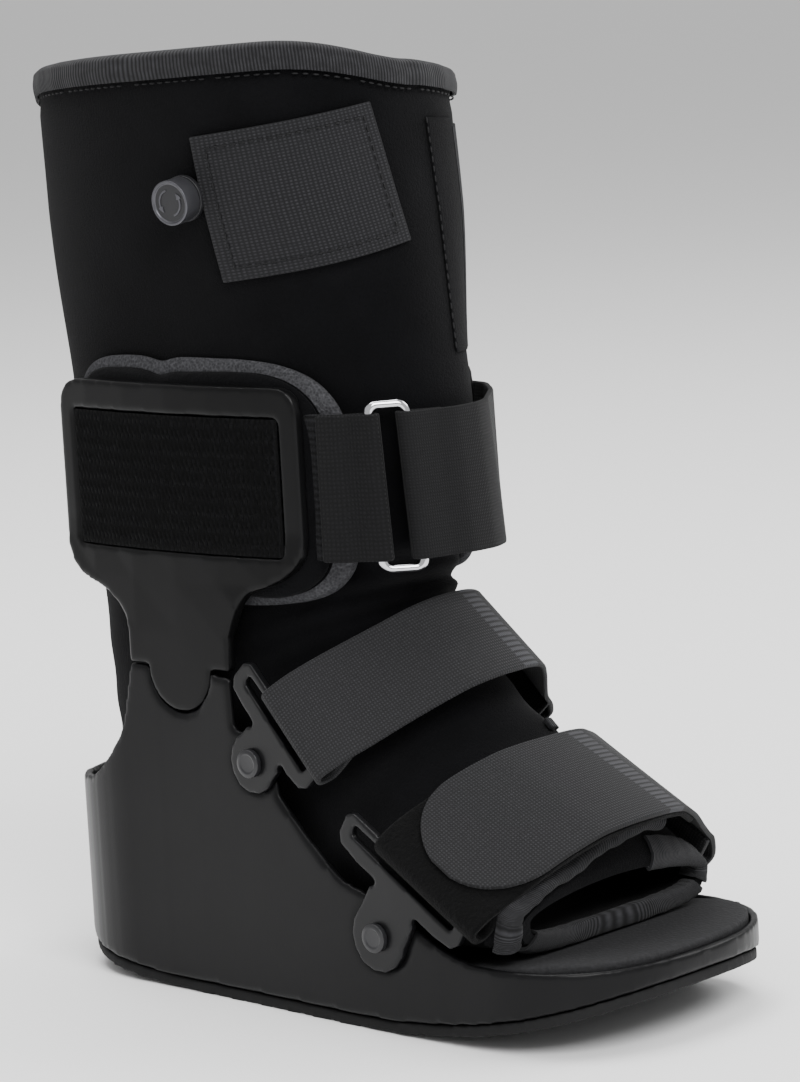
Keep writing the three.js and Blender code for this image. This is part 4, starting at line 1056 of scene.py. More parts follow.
    def stitches(self, name: str, lines: list[np.ndarray], outward: np.ndarray) -> bpy.types.Object:
        """Rows of stitches along lines, each stitch a small copy of one capsule.

        Args:
            name: the piece's name.
            lines: points of each row, in the form's own frame.
            outward: about which way the cloth faces.

        Returns:
            All the stitches as one piece.
        """
        drop_selection()
        bpy.ops.mesh.primitive_uv_sphere_add(segments=8, ring_count=5, radius=MM / 2)
        first = bpy.context.object
        made = []
        for line in lines:
            steps = np.linalg.norm(np.diff(line, axis=0), axis=1)
            at = np.r_[0, np.cumsum(steps)]
            count = max(2, round(at[-1] / self.seam_mm))
            ends = [np.array([np.interp(s, at, line[:, k]) for k in range(3)])
                    for s in np.linspace(0, at[-1], count * 2 + 1)]
            for a, b in zip(ends[0::2], ends[1::2]):
                along = Vector(b - a).normalized()
                side = along.cross(Vector(outward)).normalized()
                lift = side.cross(along)
                turn = Matrix((along * float(np.linalg.norm(b - a)) * 1.35, side * self.thread_mm,
                               lift * self.thread_mm * 0.8)).transposed().to_4x4()
                stitch = first.copy()
                stitch.data = first.data.copy()
                bpy.context.scene.collection.objects.link(stitch)
                stitch.data.transform(Matrix.Translation(Vector(((a + b) / 2 + SHIFT) * MM)) @ turn)
                made.append(stitch)
        bpy.data.objects.remove(first)
        drop_selection()
        for stitch in made:
            stitch.select_set(True)
        bpy.context.view_layer.objects.active = made[0]
        bpy.ops.object.join()
        piece = bpy.context.object
        piece.name = piece.data.name = name
        smooth(piece, 80)
        return piece

    def edge_line(self, corners: tuple[tuple[float, float], ...], inset: float,
                  swell: float) -> list[np.ndarray]:
        """Four rows just inside a panel's edge, as points on the form.

        Args:
            corners: station and turn of the four corners.
            inset: how far inside, as a share of the panel.
            swell: how far the rows stand off the form.

        Returns:
            The points of each row.
        """
        table = np.array(corners)
        left, right, top, foot = inset, 1 - inset, inset * 1.3, 1 - inset * 1.3
        ring = [(left, top), (right, top), (right, foot), (left, foot), (left, top)]
        rows = []
        for (u0, v0), (u1, v1) in zip(ring, ring[1:]):
            spot = self.spots(table, np.linspace(u0, u1, 24), np.linspace(v0, v1, 24))
            rows.append(self.form.point(spot[:, 0], spot[:, 1], swell))
        return rows

    def build(self) -> None:
        """Makes and dresses the liner and all that is sewn to it."""
        turn = 2 * math.pi / self.facets
        lap = (12 * turn, 22 * turn)
        dress(self.liner(), CLOTH, "liner_cloth", "liner")
        rim = self.binding("rim_binding", 0, 0.0105, 0, 2 * math.pi)
        dress(rim, BINDING, "binding_cloth", "top_binding")
        dress(self.binding("sole_edge_binding", 1, 0.02, -5 * turn, 5 * turn), BINDING,
              "binding_cloth", "toe_edge_sole")
        dress(self.binding("far_flap_binding", 1, 0.03, 6 * turn, 12 * turn), BINDING,
              "binding_cloth", "toe_flap_far")

        def lift(u: np.ndarray, v: np.ndarray) -> np.ndarray:
            """How far the near toe flap stands off the form, most at its lower end.

            Args:
                u: shares in the first direction.
                v: shares in the second direction.

            Returns:
                One height for each point.
            """
            return 2.1 + 7.5 * ease(1 - u * 1.9) * ease(v) + 0.5 * np.sin(u * 26) * v

        near = ((0.95, lap[0]), (0.95, lap[1]), (0.992, lap[0]), (0.992, lap[1]))
        flap = self.slab("near_toe_flap", near, lift, 3, 90, 20, (100, 14))
        dress(flap, CLOTH, "liner_cloth", "toe_flap_near")
        dress(self.flap_edge(lap, lift), BINDING, "binding_cloth", "toe_edge_near")

        label = ((0.0409, 4.455), (0.0224, 3.457), (0.1098, 4.42), (0.0905, 3.31))
        panel = self.slab("label_panel", label, lambda u, v: 0.5 + 0 * u, 1.2, 60, 40, (62, 46))
        dress(panel, LABEL, "webbing", "label_patch")
        dress(self.stitches("label_stitches", self.edge_line(label, 0.07, 2.0), np.array([-1, -0.4, 0.1])),
              THREAD, "webbing")
        down = self.panel_corners(4, 22.2, 303.3)
        closure = self.slab("closure_lap", down, lambda u, v: -0.3 + 0 * u, 1.0, 14, 60, (17, 80))
        dress(closure, CLOTH, "liner_cloth", "closure_flap")
        edge = self.panel_corners(22.5, 27, 300.1)
        bound = self.slab("closure_binding", edge, lambda u, v: -0.3 + 0.4 * np.sin(u * math.pi), 1.2,
                          6, 60, (5, 80))
        dress(bound, BINDING, "binding_cloth", "closure_edge")
        seam = np.linspace(0, 1, 30)[:, None]
        table = np.array(down)
        spot = table[0] * (1 - seam) + table[2] * seam
        dress(self.stitches("closure_stitches", [self.form.point(spot[:, 0], spot[:, 1], 0.6)],
                            np.array([0, -1, 0.0])), THREAD, "webbing")
        step = ((0.735, lap[0]), (0.735, lap[0] + 0.12), (0.757, lap[0]), (0.757, lap[0] + 0.12))
        dress(self.slab("instep_binding", step, lambda u, v: 0.5 + 0.6 * np.sin(u * math.pi), 1.6,
                        8, 20, (6, 12)), BINDING, "binding_cloth", "instep_edge")
        rows = [self.form.point(0.0125, np.linspace(0, 2 * math.pi, 160), 0.2)]
        dress(self.stitches_round("rim_stitches", rows), THREAD, "webbing")

    def stitches_round(self, name: str, rows: list[np.ndarray]) -> bpy.types.Object:
        """A row of stitches right round the leg, made in short stretches that face outward.

        Args:
            name: the piece's name.
            rows: one closed row of points.

        Returns:
            All the stitches as one piece.
        """
        parts = []
        for k, stretch in enumerate(np.array_split(rows[0], 16)):
            middle = stretch.mean(0)
            outward = middle - rows[0].mean(0)
            parts.append(self.stitches(f"{name}_{k}", [stretch], outward / np.linalg.norm(outward)))
        drop_selection()
        for part in parts:
            part.select_set(True)
        bpy.context.view_layer.objects.active = parts[0]
        bpy.ops.object.join()
        piece = bpy.context.object
        piece.name = piece.data.name = name
        return piece

    def flap_edge(self, lap: tuple[float, float], lift: Callable) -> bpy.types.Object:
        """Knitted tape folded over the near toe flap's front edge.

        Args:
            lap: the turns where the flap starts and ends.
            lift: how far the flap stands off the form.

        Returns:
            The tape.
        """

        def place(u: np.ndarray, v: np.ndarray) -> tuple[np.ndarray, np.ndarray]:
            """Lays the tape along the flap's edge and folds it over.

            Args:
                u: shares in the first direction.
                v: shares in the second direction.

            Returns:
                The points, and their map in millimetres.
            """
            turn = lap[0] + (lap[1] - lap[0]) * u
            fold = np.clip((v - 0.35) / 0.3, 0, 1) * math.pi
            share = np.where(v < 0.35, v / 0.35, np.where(v > 0.65, (1 - v) / 0.35, 1))
            station = 0.95 + 0.045 * (0.5 + 0.5 * share)
            puff = 0.5 * np.sin(share * math.pi) + 0.25 * np.sin(u * 70)
            swell = lift(u, np.ones_like(u)) + 1.5 + np.where(v < 0.5, 1, -1) * puff
            swell = swell + 2.5 * np.where(share < 1, np.where(v < 0.5, 1, -1), np.cos(fold))
            points = self.form.point(station, turn, swell)
            points[:, 1] -= 2.3 * np.sin(fold)
            return points, np.c_[u * 100, v * 16]

        return thicken(grid_piece("near_flap_binding", 110, 24, place), 1.1)

    def panel_corners(self, from_x: float, to_x: float, top: float) -> tuple[tuple[float, float], ...]:
        """Station and turn of a tall panel's corners at the front of the shaft.

        Args:
            from_x: its near edge.
            to_x: its far edge.
            top: the height of its upper end.

        Returns:
            Station and turn of the four corners.
        """
        station, turn = np.meshgrid(np.linspace(0, 0.3, 121), np.linspace(2.2, 4.1, 191), indexing="ij")
        cloud = self.form.point(station, turn)
        found = []
        for x, z in ((from_x, top), (to_x, top), (from_x, 223.1), (to_x, 223.1)):
            away = np.linalg.norm(cloud - np.array([x, -24.1, z]), axis=2)
            k = np.unravel_index(away.argmin(), away.shape)
            found.append((float(station[k]), float(turn[k])))
        return tuple(found)


@dataclass
class Struts:
    """The hook tape in the struts' windows, and the pads between the struts and the leg."""

    leg_y: float = 53.064
    width: float = 115
    base: float = 150
    height: float = 66.5
    border: float = 7.5
    bow: float = 5
    half_span: float = 51.5
    tower_x: float = 53.2
    tower_height: float = 117
    overhang: float = 10
    cap_mm: float = 1.2

    def face(self, y: np.ndarray, z: np.ndarray) -> np.ndarray:
        """How far a strut's outer face stands from the middle plane.

        Args:
            y: places along the boot.
            z: heights.

        Returns:
            One distance for each place.
        """
        spread = ((y - self.leg_y) / (self.width / 2)) ** 2 * self.bow
        rise = ease((z - self.tower_height) / (self.base + 14 - self.tower_height))
        return self.tower_x + (self.half_span - self.tower_x) * rise - spread * rise

    def hook_tape(self, side: Side) -> bpy.types.Object:
        """The hook tape, with its columns of hooks standing up.

        Args:
            side: which strut it lies in.

        Returns:
            The tape.
        """
        front, rear = self.leg_y - self.width / 2 + self.border, self.leg_y + self.width / 2 - self.border
        low, high = self.base + self.border, self.base + self.height - self.border - 3

        def place(u: np.ndarray, v: np.ndarray) -> tuple[np.ndarray, np.ndarray]:
            """Lays the tape into the window, with its hooks raised.

            Args:
                u: shares in the first direction.
                v: shares in the second direction.

            Returns:
                The points, and their map in millimetres.
            """
            y = front + 0.5 + (rear - front - 1) * u
            z = low + 0.5 + (high - low - 1) * v
            zig = 0.55 * np.abs((z / 2.6) % 2 - 1)
            hooks = 0.45 * (0.5 + 0.5 * np.sin((y + zig * 2) * 2 * math.pi / 2.1))
            edge = np.minimum.reduce([y - front, rear - y, z - low, high - z])
            x = self.face(y, z) - 1.15 + hooks * np.clip((edge - 1) / 1.5, 0, 1)
            return np.c_[x * side.value, y, z], np.c_[y, z]

        tape = grid_piece(f"hook_tape_{side.name.lower()}", 240, 60, place)
        return thicken(tape, 1.3, 0.3)

    def edge_at(self, turn: np.ndarray) -> np.ndarray:
        """How far the pad's edge lies from its middle, by direction in its own plane.

        Args:
            turn: the directions.

        Returns:
            One distance for each.
        """
        c, d = np.cos(turn), np.sin(turn)
        wide = np.where(c < 0, self.width / 2 + self.overhang + 1, self.width / 2)
        tall = np.where(d > 0, self.height / 2 + self.overhang - 0.5, self.height / 2 + self.overhang + 2)
        power = np.where((c < 0) & (d > 0), 3.6, 4.6)
        plain = (np.abs(c / wide) ** power + np.abs(d / tall) ** power) ** (-1 / power)
        dip = np.exp(-((turn - 1.36) / 0.13) ** 2)
        return plain - 1.8 * dip

    def pad(self, side: Side, liner: BVHTree) -> bpy.types.Object:
        """A strut pad: a dark cushion on a grey felt core that stands a little above it.

        Args:
            side: which leg side it lies on.
            liner: the bootie's skin, which the pad's inner side follows.

        Returns:
            The pad, blown up as cloth over foam.
        """
        tag = side.name.lower()
        # how far inside the edge each ring lies, and how deep as a share of the pad's thickness
        profile = np.array([(60, 0.03), (40, 0.0), (16, 0.0), (8.5, 0.06), (5.6, 0.16), (4.6, 0.3),
                            (5.2, 0.4), (6.6, 0.46), (3.2, 0.5), (0.8, 0.56), (0, 0.66), (0, 0.82),
                            (0.9, 0.93), (4, 0.99), (16, 1.0), (40, 1.0), (60, 1.0)])
        middle = np.array([self.leg_y, self.base + self.height / 2])

        def place(u: np.ndarray, v: np.ndarray) -> tuple[np.ndarray, np.ndarray]:
            """Lays the skin from the middle of the face, over the edge, to the middle of the back.

            Args:
                u: shares in the first direction.
                v: shares in the second direction.

            Returns:
                The points, and their map in millimetres.
            """
            turn = u * 2 * math.pi - math.pi
            k = v * (len(profile) - 1)
            inset, share = (np.interp(k, np.arange(len(profile)), profile[:, i]) for i in (0, 1))
            radius = np.maximum(self.edge_at(turn) - inset, 0.02)
            radius = np.where((v == 0) | (v == 1), 0.0, radius)
            y = middle[0] + radius * np.cos(turn)
            z = middle[1] + radius * np.sin(turn)
            top = self.face(y, z) - 5.3
            under = np.empty_like(y)
            for i, (a, b) in enumerate(zip(y, z)):
                start = Vector(((0.2 * side.value), (a + SHIFT[1]) * MM, b * MM))
                hit = liner.ray_cast(start, Vector((-side.value, 0, 0)))[0]
                under[i] = abs(hit.x / MM - SHIFT[0]) + 0.5 if hit else -99
            low = np.clip(under, top - 15, top - 3.2)
            x = top + (low - top) * share
            return np.c_[x * side.value, y, z], np.c_[turn * 40, v * 1000]

        piece = grid_piece(f"leg_pad_{tag}", 96, (len(profile) - 1) * 2, place)
        tidy_faces(piece)
        start = corners_of(piece)
        pick(piece)
        cloth = piece.modifiers.new("Cloth", "CLOTH")
        cloth.settings.use_pressure = True
        cloth.settings.uniform_pressure_force = 4
        cloth.settings.effector_weights.gravity = 0
        cloth.point_cache.frame_start, cloth.point_cache.frame_end = 1, 20
        for step in range(1, 21):
            bpy.context.scene.frame_set(step)
        blown = piece.evaluated_get(bpy.context.evaluated_depsgraph_get()).data
        flat = np.empty(len(blown.vertices) * 3)
        blown.vertices.foreach_get("co", flat)
        moved = flat.reshape(-1, 3) / MM - start
        piece.modifiers.clear()
        bpy.context.scene.frame_set(1)
        reach = np.linalg.norm(moved, axis=1)[:, None]
        put_corners(piece, start + moved * np.minimum(1, self.cap_mm / np.maximum(reach, 1e-6)))
        modify(piece, "SUBSURF", levels=2, render_levels=2)
        return piece

    def felt_edge(self, piece: bpy.types.Object) -> None:
        """Gives the pad's core its grey felt, from the groove behind the cushion to its back.

        Args:
            piece: the pad.
        """
        piece.data.materials.append(PAD.material())
        piece.data.materials.append(FELT.material())
        layer = piece.data.uv_layers[0]
        for flat in piece.data.polygons:
            share = sum(layer.data[i].uv.y for i in flat.loop_indices) / len(flat.loop_indices)
            flat.material_index = 1 if 0.47 < share < 0.86 else 0

    def build(self) -> None:
        """Makes and dresses both sides."""
        bpy.context.view_layer.update()
        liner = BVHTree.FromObject(bpy.data.objects["liner_bootie"], bpy.context.evaluated_depsgraph_get())
        for side in Side:
            tag = side.name.lower()
            dress(self.hook_tape(side), HOOK, "hook_and_pile", f"hook_patch_{tag}")
            piece = self.pad(side, liner)
            self.felt_edge(piece)
            smooth(piece, 80)
            dress(piece, PAD, "pad_cloth", f"strut_pad_{tag}")


@dataclass
class Straps:
    """The webbing straps, each a flat band bent along its own line, and the chromed ring."""

    sole: Sole = field(default_factory=Sole)
    leg_y: float = 53.064
    strap_z: float = 181.75
    webbing: float = 1.8
    ankle_line: tuple[tuple[float, float], ...] = (
        (-51, 9), (-51, 0), (-51.5, -2.1), (-53.1, -3.7), (-55.2, -4.2), (-57.3, -3.7), (-58.9, -2.1),
        (-59.5, 0), (-55.2, 5.7), (-46, 13.8), (-36.9, 22), (-27.8, 30.1), (-18.2, 37.9),
        (-12.5, 40.8), (-6.4, 42.6), (0, 43.1), (6.4, 42.6), (12.5, 40.8), (18.2, 37.9), (27.8, 30.1),
        (36.9, 22), (46, 13.8), (55.2, 5.7), (59.5, 0), (58.9, -2.1), (57.3, -3.7), (55.2, -4.2),
        (53.1, -3.7), (51.5, -2.1), (51, 0), (51, 9))
    pile_line: tuple[tuple[float, float], ...] = (
        (-54.3, 9), (-54.3, 0), (-54.9, -2.2), (-56.5, -3.9), (-58.7, -4.4), (-60.9, -3.9),
        (-62.6, -2.2), (-63.2, 0), (-58.4, 5.5), (-53.2, 9), (-48.1, 12.3), (-43, 15.7),
        (-37.9, 19.1), (-32.7, 22.3), (-27.2, 25.1), (-21.5, 27.9), (-15.5, 29.6), (-9.4, 31),
        (-3.1, 31.5), (3.1, 31.5), (9.4, 31), (15.5, 29.6), (21.5, 27.9), (27.2, 25.1), (32.7, 22.3))
    toe_line: tuple[tuple[float, float], ...] = (
        (-59.8, 7.7), (-54.4, 11.3), (-49.4, 14.6), (-44.3, 17.9), (-39.2, 21.3), (-33.8, 24.6),
        (-28.2, 27.5), (-22.4, 30.3), (-16.1, 32.2), (-9.7, 33.5), (-3.2, 34.1), (3.2, 34.1),
        (9.7, 33.5), (16.1, 32.2), (22.4, 30.3), (28.2, 27.5), (33.8, 24.6), (39.2, 21.3),
        (44.3, 17.9), (49.4, 14.6), (54.4, 11.3), (56.9, 9.6), (63, 0), (62.4, -2.1), (60.8, -3.7),
        (58.7, -4.2), (56.6, -3.7), (55, -2.1), (54.5, 0), (54.5, 9))
    tab_line: tuple[tuple[float, float], ...] = (
        (-42.8, 43.5), (-41, 55.5), (-40, 63), (-39.4, 66.3), (-37.6, 69.4), (-34.8, 71.6),
        (-29.8, 75.4), (-28.9, 76.6), (-28.7, 78), (-29.3, 79.3), (-30.4, 80.2), (-31.9, 80.4),
        (-33.2, 79.9), (-36.2, 73.4), (-39.3, 71), (-41.5, 67.1), (-42.3, 63.4))
    calf_line: tuple[tuple[float, float], ...] = (
        (-8.5, 90), (-11.6, 88.7), (-14.5, 87.1), (-19.6, 83.2), (-21, 82.6), (-22.4, 82.8),
        (-23.6, 83.7), (-24.1, 85), (-23.9, 86.5), (-23, 87.6), (-12.6, 90.8), (-9.2, 92.1),
        (-5.6, 93.2), (-1.9, 93.5), (1.6, 93.5), (5.3, 93.2), (8.9, 92.2), (12.2, 90.9),
        (15.5, 89.2), (18.3, 87.1), (23.4, 83.2), (28.4, 79.4), (33.5, 75.5), (38.7, 71.6),
        (41.3, 69.2), (43.6, 66.8), (45.7, 64.4), (48, 62), (50.5, 58.5), (51.2, 54.4), (52, 48.1),
        (52.9, 41.8), (53.6, 35.2), (53.9, 28.8), (54.2, 22.4), (54.6, 16.1), (54.9, 9.7), (55.4, 0.2))

    def foot_place(self, base: tuple[float, float], along: tuple[float, float], outward: tuple[float, float],
                   width: float, drift: float, rod_x: float, raised: float) -> Callable:
        """How a point of a foot strap's own plane comes to lie in space.

        Args:
            base: y and z of the middle of the strap's rods.
            along: y and z of the direction down the loop's slot.
            outward: y and z of the direction out of the loop's slot.
            width: the strap's width.
            drift: how far the strap runs forward over the instep.
            rod_x: how far the rods' middles stand from the middle plane.
            raised: how far the strap stands above its line over the instep.

        Returns:
            A function of the plane's points and the distance across the strap.
        """
        start, slot, out = (np.array(v) for v in (base, along, outward))

        def place(p: np.ndarray, across: np.ndarray) -> np.ndarray:
            """Puts points of the strap's plane in space.

            Args:
                p: points of the strap's plane.
                across: distance across the strap from its middle.

            Returns:
                The points in space.
            """
            near = np.abs(p[:, 0]) / rod_x
            lean = 4.5 * (0.5 + across / width) * ease(1.4 - 1.4 * near)
            lean = lean + raised * ease(1.2 - near)
            side = start + out * (p[:, 1] + lean)[:, None] + slot * (across + drift * ease(1 - near))[:, None]
            flare = (self.sole.half_at(side[:, 0]) - self.sole.half_at(start[0])) * ease((near - 0.8) / 0.2)
            return np.c_[p[:, 0] + np.sign(p[:, 0]) * flare, side]

        return place

    def calf_place(self, p: np.ndarray, across: np.ndarray) -> np.ndarray:
        """How a point of the calf strap's plan comes to lie in space.

        Args:
            p: points of the strap's plan.
            across: distance up the strap from its middle.

        Returns:
            The points in space.
        """
        slant = 5 * (0.5 - across / 50) * ease((p[:, 1] - 62) / 28)
        return np.c_[p[:, 0], self.leg_y - p[:, 1] - slant, self.strap_z + across]

    def band(self, name: str, line: tuple[tuple[float, float], ...], width: float, thick: float,
             place: Callable, round_end: bool = False) -> bpy.types.Object:
        """A flat strap bent along a line.

        Args:
            name: the piece's name.
            line: points in the strap's own plane.
            width: its width.
            thick: its thickness.
            place: turns the plane's points and the distance across into space.
            round_end: whether its first end is cut round.

        Returns:
            The strap.
        """
        rows = np.array(line, float)
        fine = curve_through(rows, np.linspace(0, 1, len(rows) * 12))
        at = np.r_[0, np.cumsum(np.linalg.norm(np.diff(fine, axis=0), axis=1))]

        def lay(u: np.ndarray, v: np.ndarray) -> tuple[np.ndarray, np.ndarray]:
            """Lays the strap along its line.

            Args:
                u: shares in the first direction.
                v: shares in the second direction.

            Returns:
                The points, and their map in millimetres.
            """
            run = at[-1] * u
            p = np.c_[np.interp(run, at, fine[:, 0]), np.interp(run, at, fine[:, 1])]
            half = np.full_like(run, width / 2)
            if round_end:
                reach = np.clip(width / 2 - run - 0.4, 0, width / 2)
                half = np.sqrt(np.maximum((width / 2) ** 2 - reach ** 2, 4))
            across = (v * 2 - 1) * half
            cup = 0.25 * np.sin(run / 9 + 0.6) * (v - 0.5) + 0.2 * np.sin(run / 17)
            points = place(p, across)
            points[:, 2] += cup * ease(run / 30) * ease((at[-1] - run) / 30)
            return points, np.c_[run, across]

        piece = grid_piece(name, int(at[-1] / 1.1), int(width / 1.4), lay)
        return thicken(piece, thick, 0.6)

    def ring(self) -> bpy.types.Object:
        """The chromed wire ring: a round tube bent to a tall rounded rectangle.

        Returns:
            The ring.
        """
        middle, along = np.array([-26.431, 81.509]), np.array([0.79553, 0.60592])
        normal = np.array([-0.60592, 0.79553])
        half, high, corner, wire = 6.4, 27.8, 3.0, 1.6
        drop_selection()
        bpy.ops.mesh.primitive_torus_add(major_segments=160, minor_segments=20, major_radius=1,
                                         minor_radius=0.25)
        piece = bpy.context.object
        piece.name = piece.data.name = "strap_ring_wire"
        points = corners_of(piece) * MM
        turn = np.arctan2(points[:, 1], points[:, 0])
        out = (np.hypot(points[:, 0], points[:, 1]) - 1) / 0.25
        lift = points[:, 2] / 0.25
        spot = (turn / (2 * math.pi) % 1) * 160
        lengths = np.array([high - corner, corner * math.pi / 2, 2 * (half - corner), corner * math.pi / 2,
                            2 * (high - corner), corner * math.pi / 2, 2 * (half - corner),
                            corner * math.pi / 2, high - corner])
        shares = np.array([22, 12, 12, 12, 44, 12, 12, 12, 22]) / 160
        run = np.interp(spot / 160, np.r_[0, np.cumsum(shares)], np.r_[0, np.cumsum(lengths)])
        dense = [(half, 0.0, 0.0)]
        angle = [0.0, 90.0, 180.0, 270.0]
        centres = [(half - corner, high - corner), (-half + corner, high - corner),
                   (-half + corner, -high + corner), (half - corner, -high + corner)]
        for start, (cx, cz) in zip(angle, centres):
            for step in range(13):
                a = math.radians(start + 90 * step / 12)
                dense.append((cx + corner * math.cos(a), cz + corner * math.sin(a), a))
        dense.append((half, 0.0, 2 * math.pi))
        table = np.array(dense)
        at = np.r_[0, np.cumsum(np.linalg.norm(np.diff(table[:, :2], axis=0), axis=1))]
        run = run * at[-1] / np.sum(lengths)
        a, z, way = (np.interp(run, at, table[:, k]) for k in range(3))
        a = a + np.cos(way) * out * wire
        z = z + np.sin(way) * out * wire
        flat = middle + along * a[:, None] + normal * (lift * wire)[:, None]
        put_corners(piece, self.calf_place(flat, z) + SHIFT)
        tidy_faces(piece)
        smooth(piece, 80)
        return piece

    def build(self) -> None:
        """Makes and dresses every strap and the ring."""
        ankle = self.foot_place((-7.1554, 99.7824), (-0.68417, -0.72933), (-0.72933, 0.68417),
                                37.5, 4, 55.207, 1.2)
        toe = self.foot_place((-67.3555, 54.684), (-0.84927, -0.52795), (-0.52795, 0.84927),
                              50, 6, 58.707, 0.5)
        dress(self.band("ankle_band", self.ankle_line, 37.5, self.webbing, ankle), ANKLE, "webbing",
              "ankle_strap")
        dress(self.band("toe_pile_band", self.pile_line, 50, 2.2, toe), PILE, "hook_and_pile",
              "toe_strap_pile")
        dress(self.band("toe_band", self.toe_line, 50, self.webbing, toe, round_end=True), TOE,
              "webbing", "toe_strap")
        dress(self.band("calf_tab_band", self.tab_line, 50, self.webbing, self.calf_place), TAB,
              "webbing", "calf_tab")
        dress(self.band("calf_band", self.calf_line, 50, self.webbing, self.calf_place), CALF,
              "webbing", "calf_strap")
        dress(self.ring(), CHROME, "ring_chrome", "strap_ring")


@dataclass
class Valve:
    """The air valve: a flat base on the liner and a knob that turns on it."""

    point: tuple[float, float, float] = (-51.4877, 35.1252, 280.9688)
    normal: tuple[float, float, float] = (-0.98879, -0.08805, -0.12061)
    knob_radius: float = 7.75
    base_radius: float = 8
    foot: float = 2.5
    knob_height: float = 7

    def seat(self, piece: bpy.types.Object) -> None:
        """Turns a piece made along +Z onto the valve's axis.

        Args:
            piece: the object that is changed.
        """
        turn = Vector((0, 0, 1)).rotation_difference(Vector(self.normal)).to_matrix().to_4x4()
        at = Vector((np.array(self.point) + SHIFT) * MM)
        piece.data.transform(Matrix.Translation(at) @ turn)

    def disc(self, name: str, radius: float, low: float, high: float, dish: float) -> bpy.types.Object:
        """A turned disc with a rounded rim and a face sunk by a step.

        Args:
            name: the piece's name.
            radius: its outer radius.
            low: the height of its underside above the liner.
            high: the height of its top.
            dish: how far its face lies below its rim.

        Returns:
            The disc, still along +Z.
        """
        drop_selection()
        bpy.ops.mesh.primitive_cylinder_add(vertices=72, radius=radius * MM, depth=(high - low) * MM,
                                            location=(0, 0, (low + high) / 2 * MM))
        piece = bpy.context.object
        bpy.ops.object.transform_apply(location=True, rotation=True, scale=True)
        piece.name = piece.data.name = name
        bpy.ops.object.mode_set(mode="EDIT")
        bpy.ops.mesh.select_mode(type="FACE")
        bpy.ops.mesh.select_all(action="DESELECT")
        bpy.ops.object.mode_set(mode="OBJECT")
        for flat in piece.data.polygons:
            flat.select = flat.normal.z > 0.9
        bpy.ops.object.mode_set(mode="EDIT")
        if dish:
            bpy.ops.mesh.inset(thickness=0.9 * MM)
            bpy.ops.mesh.inset(thickness=0.25 * MM)
            bpy.ops.transform.translate(value=(0, 0, -dish * MM))
            bpy.ops.mesh.inset(thickness=0.2 * MM)
        bpy.ops.object.mode_set(mode="OBJECT")
        modify(piece, "BEVEL", width=0.3 * MM, segments=3, limit_method="ANGLE",
               angle_limit=math.radians(40))
        return piece

    def arrow(self, start: float) -> bpy.types.Object:
        """A raised curved arrow on the knob's face, from a turn in degrees.

        Args:
            start: where it starts.

        Returns:
            The arrow.
        """

        def place(u: np.ndarray, v: np.ndarray) -> tuple[np.ndarray, np.ndarray]:
            """Lays the arrow on the knob's face.

            Args:
                u: shares in the first direction.
                v: shares in the second direction.

            Returns:
                The points, and their map in millimetres.
            """
            shaft = np.clip(u / 0.72, 0, 1)
            head = np.clip((u - 0.72) / 0.28, 0, 1)
            half = np.where(u < 0.72, 0.3, 0.95 * (1 - head) + 0.02)
            turn = np.radians(start + 95 * shaft + 28 * head)
            radius = 4.4 + (v * 2 - 1) * half
            top = self.foot + self.knob_height - 0.35
            points = np.c_[radius * np.cos(turn), radius * np.sin(turn), np.full_like(u, top)]
            return points - SHIFT, np.c_[u * 9, v * 2]

        piece = grid_piece(f"arrow_{int(start)}", 36, 4, place)
        return thicken(piece, 0.3, 0.08)

    def build(self) -> None:
        """Makes and dresses the valve."""
        base = self.disc("valve_seat_disc", self.base_radius, 0.25, 2.2, 0)
        self.seat(base)
        smooth(base, 35)
        dress(base, KNOB_FACE, "knob_plastic", "valve_base")
        knob = self.disc("valve_knob_cap", self.knob_radius, self.foot, self.foot + self.knob_height, 0.5)
        knob.data.materials.append(KNOB.material())
        knob.data.materials.append(KNOB_FACE.material())
        top = (self.foot + self.knob_height - 0.6) * MM
        for flat in knob.data.polygons:
            inner = math.hypot(flat.center.x, flat.center.y) < (self.knob_radius - 1.5) * MM
            flat.material_index = 1 if flat.center.z > top - 0.2 * MM and inner else 0
        arrows = [self.arrow(20), self.arrow(200)]
        for piece in arrows:
            piece.data.materials.append(KNOB.material())
        drop_selection()
        for piece in (*arrows, knob):
            piece.select_set(True)
        bpy.context.view_layer.objects.active = knob
        bpy.ops.object.join()
        self.seat(knob)
        smooth(knob, 35)
        dress(knob, KNOB, "knob_plastic", "valve_knob", body="knob")


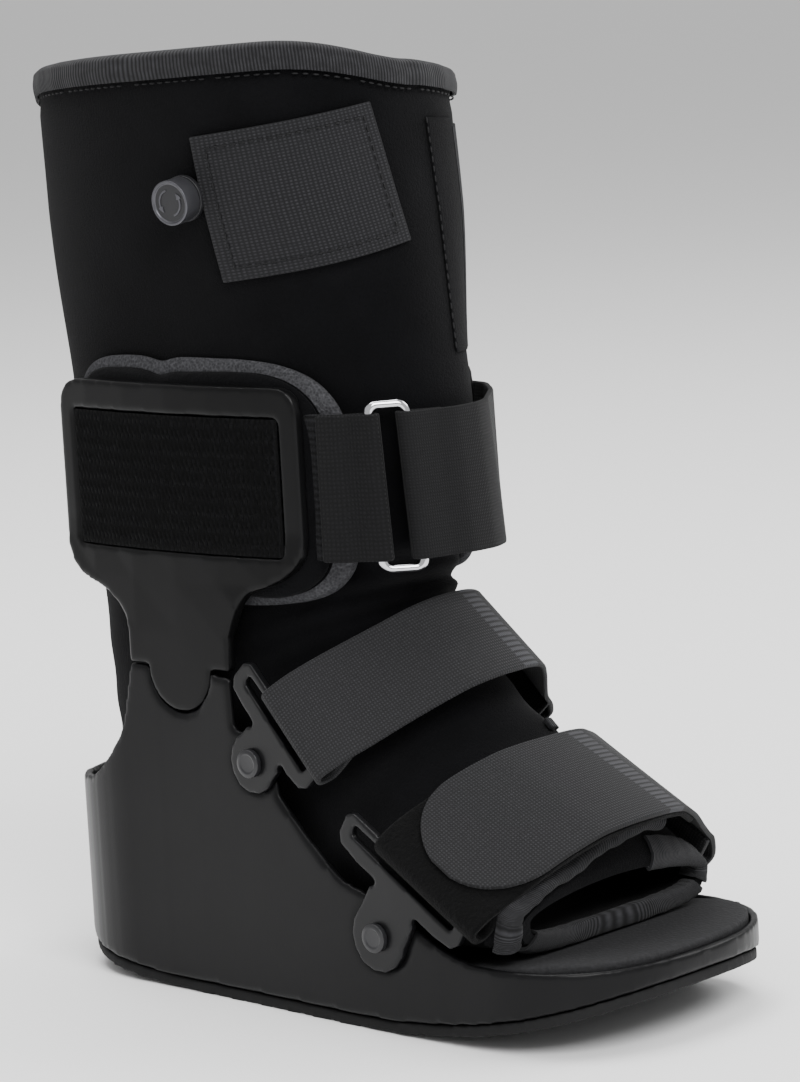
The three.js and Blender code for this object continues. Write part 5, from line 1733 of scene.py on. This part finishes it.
@dataclass
class Studio:
    """A plain pale floor, soft light, and the camera where the photograph was taken from."""

    azimuth: float = 47.58
    distance: float = 1456.32
    height: float = 380.21
    look_z: float = 157.51
    roll: float = 3.21
    lens: float = 191.36
    offset: tuple[float, float] = (0.2, -9.6)

    def camera(self) -> None:
        """Places the camera."""
        turn = math.radians(self.azimuth)
        foot = Vector((*self.offset, 0))
        eye = foot + Vector((-math.sin(turn) * self.distance, -math.cos(turn) * self.distance, self.height))
        look = (foot + Vector((0, 0, self.look_z)) - eye).normalized()
        right = look.cross(Vector((0, 0, 1))).normalized()
        up = right.cross(look)
        r = math.radians(self.roll)
        across = right * math.cos(r) - up * math.sin(r)
        above = right * math.sin(r) + up * math.cos(r)
        view = bpy.data.cameras.new("photo_camera")
        view.sensor_fit = "HORIZONTAL"
        view.sensor_width = 36
        view.lens = self.lens
        view.clip_end = 50
        stand = bpy.data.objects.new("photo_camera", view)
        frame_of = Matrix((across, above, -look)).transposed().to_4x4()
        stand.matrix_world = Matrix.Translation(eye * MM) @ frame_of
        bpy.context.scene.collection.objects.link(stand)
        bpy.context.scene.camera = stand

    def lamp(self, name: str, place: tuple[float, float, float], size: float, power: float) -> None:
        """A square soft light that faces the boot.

        Args:
            name: the light's name.
            place: where it stands, in metres.
            size: its side in metres.
            power: its strength in watts.
        """
        light = bpy.data.lights.new(name, "AREA")
        light.size = size
        light.energy = power
        stand = bpy.data.objects.new(name, light)
        stand.location = place
        way = Vector((0, 0, 0.15)) - Vector(place)
        stand.rotation_mode = "QUATERNION"
        stand.rotation_quaternion = way.to_track_quat("-Z", "Y")
        bpy.context.scene.collection.objects.link(stand)

    def build(self) -> None:
        """Makes the floor, the lights and the camera."""
        drop_selection()
        bpy.ops.mesh.primitive_plane_add(size=90, location=(0, 0, 0))
        floor = bpy.context.object
        floor.name = "studio_floor"
        paint = bpy.data.materials.new("studio_floor_paint")
        paint.use_nodes = True
        shader = paint.node_tree.nodes["Principled BSDF"]
        shader.inputs["Base Color"].default_value = linear("f2f2f2")
        shader.inputs["Roughness"].default_value = 0.9
        shader.inputs["Specular IOR Level"].default_value = 0.1
        floor.data.materials.append(paint)
        world = bpy.data.worlds.new("studio_air")
        world.use_nodes = True
        sky = world.node_tree.nodes["Background"]
        sky.inputs["Color"].default_value = linear("ffffff")
        sky.inputs["Strength"].default_value = 0.7
        bpy.context.scene.world = world
        self.lamp("soft_key", (-0.9, -1.7, 1.9), 1.4, 72)
        self.lamp("soft_top", (0.1, 0.5, 2.3), 1.6, 62)
        self.lamp("soft_side", (1.5, -0.7, 1.3), 0.9, 14)
        self.camera()


def main() -> None:
    """Builds the boot piece by piece."""
    logging.basicConfig(level=logging.INFO, format="%(message)s")
    Studio().build()
    for part in (Mouldings(), Bootie(), Struts(), Straps(), Valve()):
        LOG.info("building %s", type(part).__name__)
        part.build()


if __name__ == "__main__":
    main()
